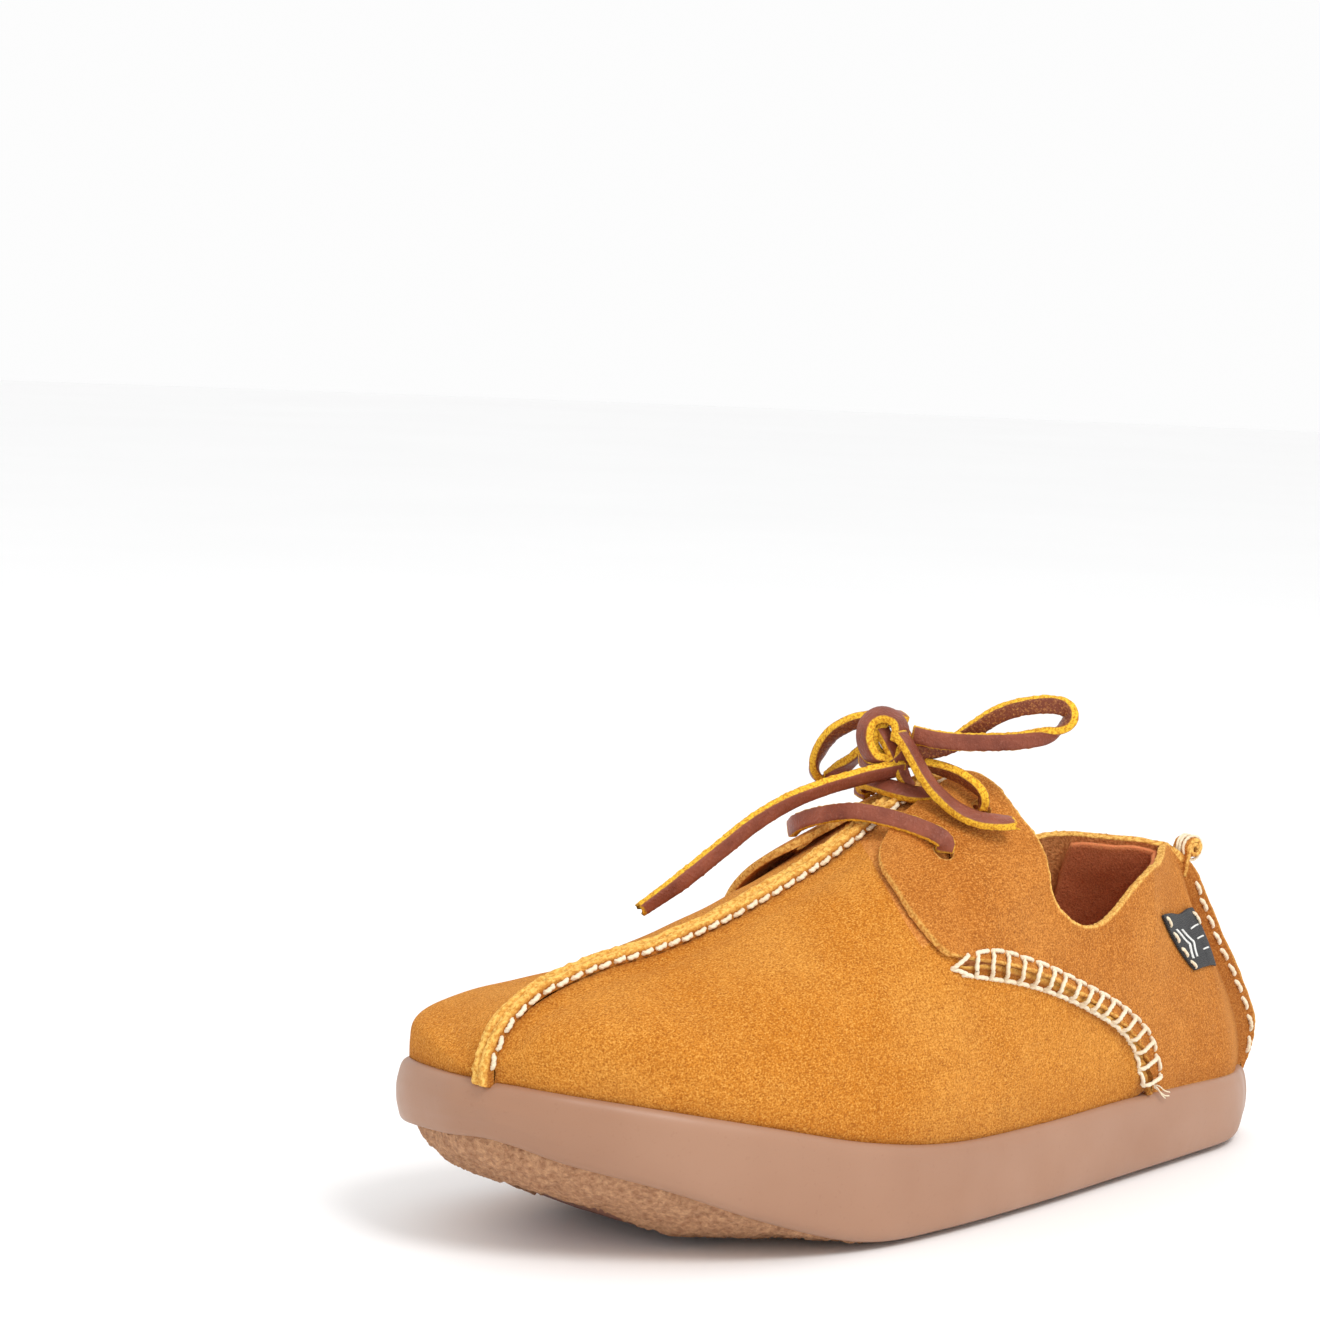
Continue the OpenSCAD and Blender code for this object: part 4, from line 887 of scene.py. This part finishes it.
def add_tread():
    w = np.linspace(0, 1, 120)
    s, f = grid(np.linspace(0, 1, 360) ** 1.15 * 0.992 + 0.004, w - 0.05 * np.sin(2 * np.pi * w))
    low = under_sole(s, f, TREAD_INSET, 0.0)
    u = (s - PANEL_S) / PANEL_REACH
    half = PANEL_SHARE * np.sqrt(np.maximum(1 - u * u, 0))
    rim = np.where(np.abs(u) < 1, np.abs(f - 0.5) - half, 1.0)
    inside = rim < 0
    crumb = sum(np.abs(fuzz(low, *size)) for size in ((1.6, 0.8, 1.0), (3.6, 0.9, 8.0), (9.0, 0.5, 3.0)))
    torn = np.exp(-(rim / 0.03) ** 2) * np.abs(fuzz(low, 2.6, 0.9, 6.0))
    dig = np.where(inside, 1.2 + np.minimum(2.4, -rim * 60), np.maximum(0, crumb - 0.25 - torn))
    low[..., 2] = np.maximum(low[..., 2] + dig * np.clip(s / 0.03, 0, 1), 0)
    edge = (f == 0) | (f == 1)
    low[..., :2] += (fuzz(low, 2.4, 0.8, 4.0) * edge)[..., None]
    low[..., 2] += np.abs(fuzz(low, 2.0, 0.9, 2.0)) * edge
    high = under_sole(s, f, TREAD_INSET, TREAD_T, 0.0)
    verts, faces = slab(np.minimum(low, high - [0, 0, 0.2]), high)
    piece("tread_crepe", verts, faces, "crepe", ["crepe_tread"])
    u, g = grid(np.sin(np.radians(np.linspace(-84, 84, 80))), np.linspace(-1, 1, 40))
    s, f = PANEL_S + u * PANEL_REACH, 0.5 + g * PANEL_SHARE * np.sqrt(1 - u * u) * 0.995
    low = under_sole(s, f, TREAD_INSET, 0.0)
    low[..., 2] += 1.1 + fuzz(low, 6, 0.12)
    verts, faces = slab(low, np.maximum(under_sole(s, f, TREAD_INSET, TREAD_T, 0.0), low + [0, 0, 0.3]))
    piece("ball_panel", verts, faces, "panel", ["forefoot_panel"])


def add_insides():
    s, f = grid(np.linspace(0.003, 0.997, 200), np.linspace(0, 1, 60))
    a, b = sole_points(1, s, 9.0, 1, 4.1), sole_points(-1, s, 9.0, 1, 4.1)
    level = a * (1 - f)[..., None] + b * f[..., None]
    top = level.copy()
    dish = -1.1 * np.sin(np.pi * f) * np.exp(-((s - 0.85) / 0.12) ** 2) + 0.25 * (np.abs(2 * f - 1) ** 4)
    top[..., 2] += dish + fuzz(top, 18, 0.2, 3.0)
    under = top.copy()
    under[..., 2] = level[..., 2] - 1.6
    verts, faces = slab(under, top)
    piece("sock_layer", verts, faces, "sock", ["sock_liner"])
    for node, mat in (("insole_board", "board"), ("cork_footbed", "cork")):
        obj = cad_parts[node]
        obj.data.materials.clear()
        obj.data.materials.append(MAT[mat])


add_sidewall()
add_tread()
add_insides()


# ---------------------------------------------------------------- stitching
def surface_tree(*names):
    verts, polys = [], []
    for name in names:
        mesh = bpy.data.objects[name].data
        base = len(verts)
        verts += [v.co.copy() for v in mesh.vertices]
        polys += [[base + i for i in p.vertices] for p in mesh.polygons]
    return BVHTree.FromPolygons(verts, polys)


SKIN = {1: surface_tree("vamp_outer_half", "quarter_outer_half"),
        -1: surface_tree("vamp_inner_half", "quarter_inner_half")}


def drape(side, points, normals):
    """Moves points in or out along their normals to lie on the leather."""
    out = np.array(points, float)
    for i, normal in enumerate(normals):
        d = Vector(normal)
        hit = SKIN[side].ray_cast((Vector(out[i]) + d * 9) * MM, -d, 0.016)
        if hit[0] is not None:
            out[i] = np.array(hit[0]) / MM
    return out


def twine(name, strokes, cad=(), size=1.15, twist=3.1):
    """Two-ply waxed thread: each stroke is a run of points in mm, tapered a little at both ends."""
    k = 12
    ang = np.linspace(0, 2 * np.pi, k, endpoint=False)
    verts, faces = [], []
    for number, stroke in enumerate(strokes):
        line, share = smooth_route(stroke, 0.28)
        t = unit(np.gradient(line, axis=0))
        side = unit(np.cross(t, np.array([0.31, 0.22, 0.92])))
        other = np.cross(t, side)
        run = share * steps(line).sum()
        phase = run * 2 * np.pi / twist + number * 1.3
        a = ang[None] + phase[:, None]
        lobes = 0.80 + 0.24 * np.abs(np.cos(ang))[None] ** 1.3
        ends = np.clip(np.minimum(run, run[-1] - run) / (size * 0.6) + 0.62, 0, 1)
        r = size / 2 * lobes * ends[:, None]
        ring = (line[:, None] + side[:, None] * (np.cos(a) * r)[..., None]
                + other[:, None] * (np.sin(a) * r)[..., None])
        base = len(verts)
        verts += ring.reshape(-1, 3).tolist()
        faces += [tuple(base + i for i in f) for f in tube_faces(len(line), k)]
    piece(name, verts, faces, "thread", cad)


def run_length_table(start, stop):
    tau = np.linspace(start, stop, 400)
    return run_along(top_at(tau)), tau


def seam_stitches(start, stop, count, fill):
    """Rows of stitches through the raised seam, one on each face of it."""
    d, tau = run_length_table(start, stop)
    pitch = d[-1] / count
    strokes = []
    for side in (1, -1):
        for i in range(count):
            jitter = fuzz(np.array([[i * 3.1, side * 2.0, 0.5]]), 1.0, 0.16)[0]
            u = np.linspace(-0.5, 0.5, 7)
            at = np.interp((i + 0.5 + jitter * 0.3 + u * fill) * pitch, d, tau)
            bow = 1 - (2 * u) ** 4
            lean = 0.45 * u * side + jitter
            out = RIDGE_W - 0.55 + 1.05 * bow
            p = top_at(at) + top_normal(at) * (1.55 + lean)[:, None]
            p[:, 1] += side * out
            if stop < 14:
                p[:, 2] -= tongue_sink(p[:, 0])
            strokes.append(p)
    return strokes


def ladder(side):
    """Rungs over the seam's ridge, joined along both rows of holes."""
    up, low = extend(LADDER_UP), extend(LADDER_LOW)
    strokes = []

    def hole(line, t):
        t = np.clip(np.asarray(t, float), 0, 1)
        p = along(line, t * (len(line) - 3))
        k = np.interp(t, [0, 0.2, 0.3, 0.4, 0.42], [1, 0.7, 0.4, 0.05, 0])
        return p - (np.stack([MEDIAL_REACH * np.clip(2.5 * k - 1.5, 0, 1), 0 * t], -1) if side < 0 else 0)

    def stroke(a, b, bow=0.0, clear=0.5):
        u = np.linspace(0, 1, 13)
        sv = a * (1 - u)[:, None] + b * u[:, None]
        s, v = np.clip(sv[:, 0], 0, 1), np.clip(sv[:, 1], 0, 1)
        p, nrm = wall(side, s, v), wall_normal(side, s, v)
        tread = unit(wall(side, s - 0.004, v) - wall(side, s + 0.004, v))
        p = p + tread * (bow * np.sin(np.pi * u))[:, None]
        h = ((drape(side, p, nrm) - p) * nrm).sum(-1)
        base = h[0] * (1 - u) + h[-1] * u
        arch = 1 - (2 * u - 1) ** 4
        lift = max(0.0, float(np.max(((h - base) / np.maximum(arch, 0.25))[1:-1])))
        lift = min(lift, 3.2) + clear
        strokes.append(p + nrm * (base + lift * arch - 0.45 * (1 - arch))[:, None])

    step = 1 / (RUNGS - 1)
    for i in range(RUNGS):
        t = i * step
        j = float(fuzz(np.array([[i * 2.7, side * 3.0, 1.5]]), 1.0, 0.12)[0])
        if i == 0:
            tip = (hole(up, 0) + hole(low, 0)) / 2 + [-0.006, 0.002]
            stroke(tip, hole(up, 0.4 * step))
            stroke(tip, hole(low, 0.5 * step))
        else:
            stroke(hole(up, t), hole(low, t + step * 0.04), bow=1.3 * (1 + j))
        if 0 < i < RUNGS - 1:
            stroke(hole(up, t - 0.05 * step), hole(up, t + step * (0.74 + 0.3 * j)))
        if i < RUNGS - 1:
            stroke(hole(low, t + 0.14 * step), hole(low, t + step * (0.88 + 0.2 * j)), clear=0.45)
    return strokes


def add_stitching():
    twine("stitches_centre_seam", seam_stitches(0.25, 11.6, 39, 0.72), ["thread_centre_seam"], size=1.3)
    twine("stitches_heel_seam", seam_stitches(15.55, 20.7, 10, 0.74), ["thread_heel_seam"], size=1.3)
    twine("stitches_ladder_outer", ladder(1), ["thread_ladder_lateral"], size=1.2)
    twine("stitches_ladder_inner", ladder(-1), ["thread_ladder_medial"], size=1.2)
    # Loose fibres where the outer ladder ends on the rim of the sole.
    rim = wall(1, np.array(0.699), np.array(0.0))
    fibres = []
    for dx, dy, dz, curl in ((-5.6, 2.4, -0.9, 0.5), (-4.8, 2.9, -1.9, -0.5), (-3.4, 2.8, -2.6, 0.3)):
        fibres.append([rim + [0.5, 0.6, 1.8], rim + [dx * 0.3, 1.6, 0.9 + dz * 0.1 + curl],
                       rim + [dx * 0.65, dy * 0.9, dz * 0.5 + curl * 0.6], rim + [dx, dy, dz * 0.8]])
    twine("loose_thread_end", fibres, size=0.42, twist=1.6)


add_stitching()


# ---------------------------------------------------------------- lining, label and curl
def add_lining(side, name):
    rows, cols = 120, 40
    row = along(extend(LINING), np.linspace(0, len(LINING) - 1, rows))
    w = np.linspace(0, 1, cols)[None]
    S = row[:, 0:1] * (1 - w) + row[:, 2:3] * w
    if side < 0:
        S = S + 0.016 * np.clip((0.78 - S) / 0.06, 0, 1)
    collar = np.array(QUARTER[14:])
    high = np.interp(S[:, -1], collar[:, 2], collar[:, 3]) - 0.02
    if side < 0:
        high = high + MEDIAL_RISE * np.interp(S[:, -1], [0.672, 0.732, 0.767, 0.79], [0, 1, 1, 0])
    V = np.clip(row[:, 1:2] * (1 - w) + high[:, None] * w, 0, 1)
    P, N = wall(side, S, V), wall_normal(side, S, V)
    lift = unevenness(P) * 0.9 * np.clip(V / 0.08, 0, 1) - SUEDE_T - 0.12
    outer = off_seam(side, P + N * lift[..., None], 0.12)
    inner = off_seam(side, P + N * (lift - 1.2 + fuzz(P, 7, 0.12))[..., None], 0.12)
    verts, faces = slab(inner, outer)
    tone = np.zeros((2, rows, cols, 3))
    border = np.minimum(np.minimum(np.arange(cols), cols - 1 - np.arange(cols))[None] / 1.6,
                        np.minimum(np.arange(rows), rows - 1 - np.arange(rows))[:, None] / 1.6)
    tone[..., 0] = 0.6 * np.exp(-border ** 2)[None]
    piece(name, verts, faces, "lining", ["heel_lining"], tone.reshape(-1, 3))


def label_grid(u, w, height):
    a, b, c, d = (np.array(p) for p in LABEL)
    sv = (a * (1 - w)[..., None] + b * w[..., None]) * (1 - u)[..., None]
    sv = sv + (c * (1 - w)[..., None] + d * w[..., None]) * u[..., None]
    p, n = wall(1, sv[..., 0], sv[..., 1]), wall_normal(1, sv[..., 0], sv[..., 1])
    lift = unevenness(p) + height
    return n, off_seam(1, p + n * lift[..., None], RIDGE_W + 0.2 + np.asarray(height))


def add_label():
    rows, cols = 70, 36
    u, w = grid(np.linspace(0, 1, rows), np.linspace(0, 1, cols))
    curl = 0.5 * np.clip((0.06 - np.minimum(w, 1 - w)) / 0.06, 0, 1) ** 2
    n, under = label_grid(u, w, 0.3 + 0 * u)
    top = under + n * (0.75 - 0.35 * curl + fuzz(under, 6, 0.1))[..., None]
    verts, faces = slab(under, top)
    piece("label_tape", verts, faces, "tape", ["woven_label"])

    def mark(name, line, half):
        """A raised woven stroke along a line of label places."""
        line = np.array(line, float)
        t = np.linspace(0, len(line) - 1, 14 * (len(line) - 1) + 1)
        mid = np.stack([np.interp(t, np.arange(len(line)), line[:, k]) for k in (0, 1)], -1)
        aspect = np.array([1.0, 0.52])
        run = unit(np.gradient(mid / aspect, axis=0))
        cross = np.stack([-run[:, 1], run[:, 0]], -1) * aspect * half
        lay = np.linspace(-1, 1, 5)
        uw = mid[:, None] + cross[:, None] * lay[None, :, None]
        gu, gw = uw[..., 0] * (rows - 1), uw[..., 1] * (cols - 1)
        i, j = np.clip(gu.astype(int), 0, rows - 2), np.clip(gw.astype(int), 0, cols - 2)
        fu, fw = (gu - i)[..., None], (gw - j)[..., None]
        near, far = (top[i, k] * (1 - fu) + top[i + 1, k] * fu for k in (j, j + 1))
        base = near * (1 - fw) + far * fw
        up = n[i, j]
        crown = 0.16 + 0.12 * (1 - lay ** 2)[None] + 0.05 * np.sin(t * 7.0)[:, None]
        verts, faces = slab(base - up * 0.1, base + up * crown[..., None])
        piece(name, verts, faces, "mark")

    chevrons = [[[x, 0.24], [x + 0.14, 0.50], [x, 0.76]] for x in (0.16, 0.30)]
    bars = [[[x, w], [0.86, w]] for x, w in ((0.56, 0.30), (0.60, 0.50), (0.64, 0.70))]
    for number, line in enumerate(chevrons + bars, 1):
        mark(f"label_mark_{number}", line, 0.026)

    def stitch(u_ends, w_ends):
        bow = 1 - np.linspace(-1, 1, 7) ** 4
        return label_grid(np.linspace(*u_ends, 7), np.linspace(*w_ends, 7), 0.85 + 0.6 * bow)[1]

    strokes = [stitch((0.045, 0.055), ((k + 0.18) / 4, (k + 0.80) / 4)) for k in range(4)]
    strokes.append(stitch((0.90, 0.96), (0.08, 0.30)))
    twine("stitches_label", strokes, ["thread_label"], size=0.95)


def add_curl():
    low, high = (np.array(corner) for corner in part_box("heel_curl"))
    c = (low + high) / 2 / MM
    t = np.linspace(0, 1, 74)
    turn = math.radians(-70) + t * math.radians(640)
    r = 0.35 + 2.35 * t ** 0.8
    spiral = np.stack([-np.cos(turn) * r, 0 * t, np.sin(turn) * r], -1)
    fall = np.linspace(0, 1, 8)
    down = spiral[-1] + np.stack([fall * 0.6, np.zeros(8), -fall * 6.5], -1)[1:]
    line = np.concatenate([spiral, down]) + c
    tang = unit(np.gradient(line, axis=0))
    out = np.stack([tang[:, 2], 0 * tang[:, 0], -tang[:, 0]], -1)
    half = 0.66
    sec = np.array([(-1, -0.8), (-1, 0.8), (-0.8, 1), (0, 1.06), (0.8, 1), (1, 0.8), (1, -0.8), (0.8, -1),
                    (0, -1), (-0.8, -1)])
    wide = 2.9 - 0.9 * np.clip((np.linspace(0, 1, len(line)) - 0.9) / 0.1, 0, 1)
    ring = line[:, None] + np.array([0, 1.0, 0]) * (sec[None, :, 0] * wide[:, None])[..., None] \
        + out[:, None] * (sec[None, :, 1] * half)[..., None]
    ring = ring + (fuzz(ring, 0.9, 0.16, 5.0))[..., None] * out[:, None]
    tone = np.zeros(ring.shape)
    tone[..., 0] = (np.abs(sec[:, 0]) > 0.9)[None]
    faces = tube_faces(len(line), len(sec))
    piece("heel_roll", ring.reshape(-1, 3), faces, "facing", ["heel_curl"], tone.reshape(-1, 3))
    wraps = []
    for y, tilt in ((-1.6, 0.5), (-0.4, 0.2), (1.5, -0.4)):
        a = np.linspace(math.radians(-30), math.radians(300), 26)
        rr = 3.35 + 0.08 * np.sin(3 * a)
        wraps.append(c + np.stack([np.cos(a) * rr, y + tilt * np.cos(a), np.sin(a) * rr], -1))
    twine("stitches_heel_roll", wraps, ["thread_heel_curl"], size=0.95)


add_lining(1, "heel_lining_outer")
add_lining(-1, "heel_lining_inner")
add_label()
add_curl()


# ---------------------------------------------------------------- floor and light
WORLD_LIGHT, KEY_LIGHT, FILL_LIGHT = 0.98, 17, 1.5
LIT_POINT = Vector((0.0, 0.0, 0.05))
# The floor lies just under the tread, which rests on z = 0.
FLOOR_Z = -0.0004


def add_studio():
    rings, spokes, reach = 24, 72, 6.0
    r = reach * np.linspace(0, 1, rings) ** 2
    a = np.linspace(0, 2 * np.pi, spokes, endpoint=False)
    verts = [(0.0, 0.0, FLOOR_Z)] + [(x * math.cos(b), x * math.sin(b), FLOOR_Z) for x in r[1:] for b in a]
    faces = [(0, 1 + j, 1 + (j + 1) % spokes) for j in range(spokes)]
    for i in range(rings - 2):
        p, q = 1 + i * spokes, 1 + (i + 1) * spokes
        faces += [(p + j, q + j, q + (j + 1) % spokes, p + (j + 1) % spokes) for j in range(spokes)]
    mesh = bpy.data.meshes.new("floor")
    mesh.from_pydata(verts, [], faces)
    mesh.materials.append(MAT["floor"])
    floor = bpy.data.objects.new("floor", mesh)
    SCENE.collection.objects.link(floor)

    world = bpy.data.worlds.new("studio") if SCENE.world is None else SCENE.world
    SCENE.world = world
    world.use_nodes = True
    world.node_tree.nodes["Background"].inputs[0].default_value = (1.0, 1.0, 1.0, 1.0)
    world.node_tree.nodes["Background"].inputs[1].default_value = WORLD_LIGHT

    def lamp(name, place, size, power):
        data = bpy.data.lights.new(name, "AREA")
        data.shape, data.size, data.energy = "DISK", size, power
        obj = bpy.data.objects.new(name, data)
        obj.location = place
        obj.rotation_mode = "QUATERNION"
        obj.rotation_quaternion = (LIT_POINT - Vector(place)).to_track_quat("-Z", "Y")
        SCENE.collection.objects.link(obj)

    lamp("key_light", (0.1, 1.15, 1.55), 0.8, KEY_LIGHT)
    lamp("fill_light", (1.4, -0.4, 1.1), 1.2, FILL_LIGHT)


add_studio()

bpy.context.view_layer.update()
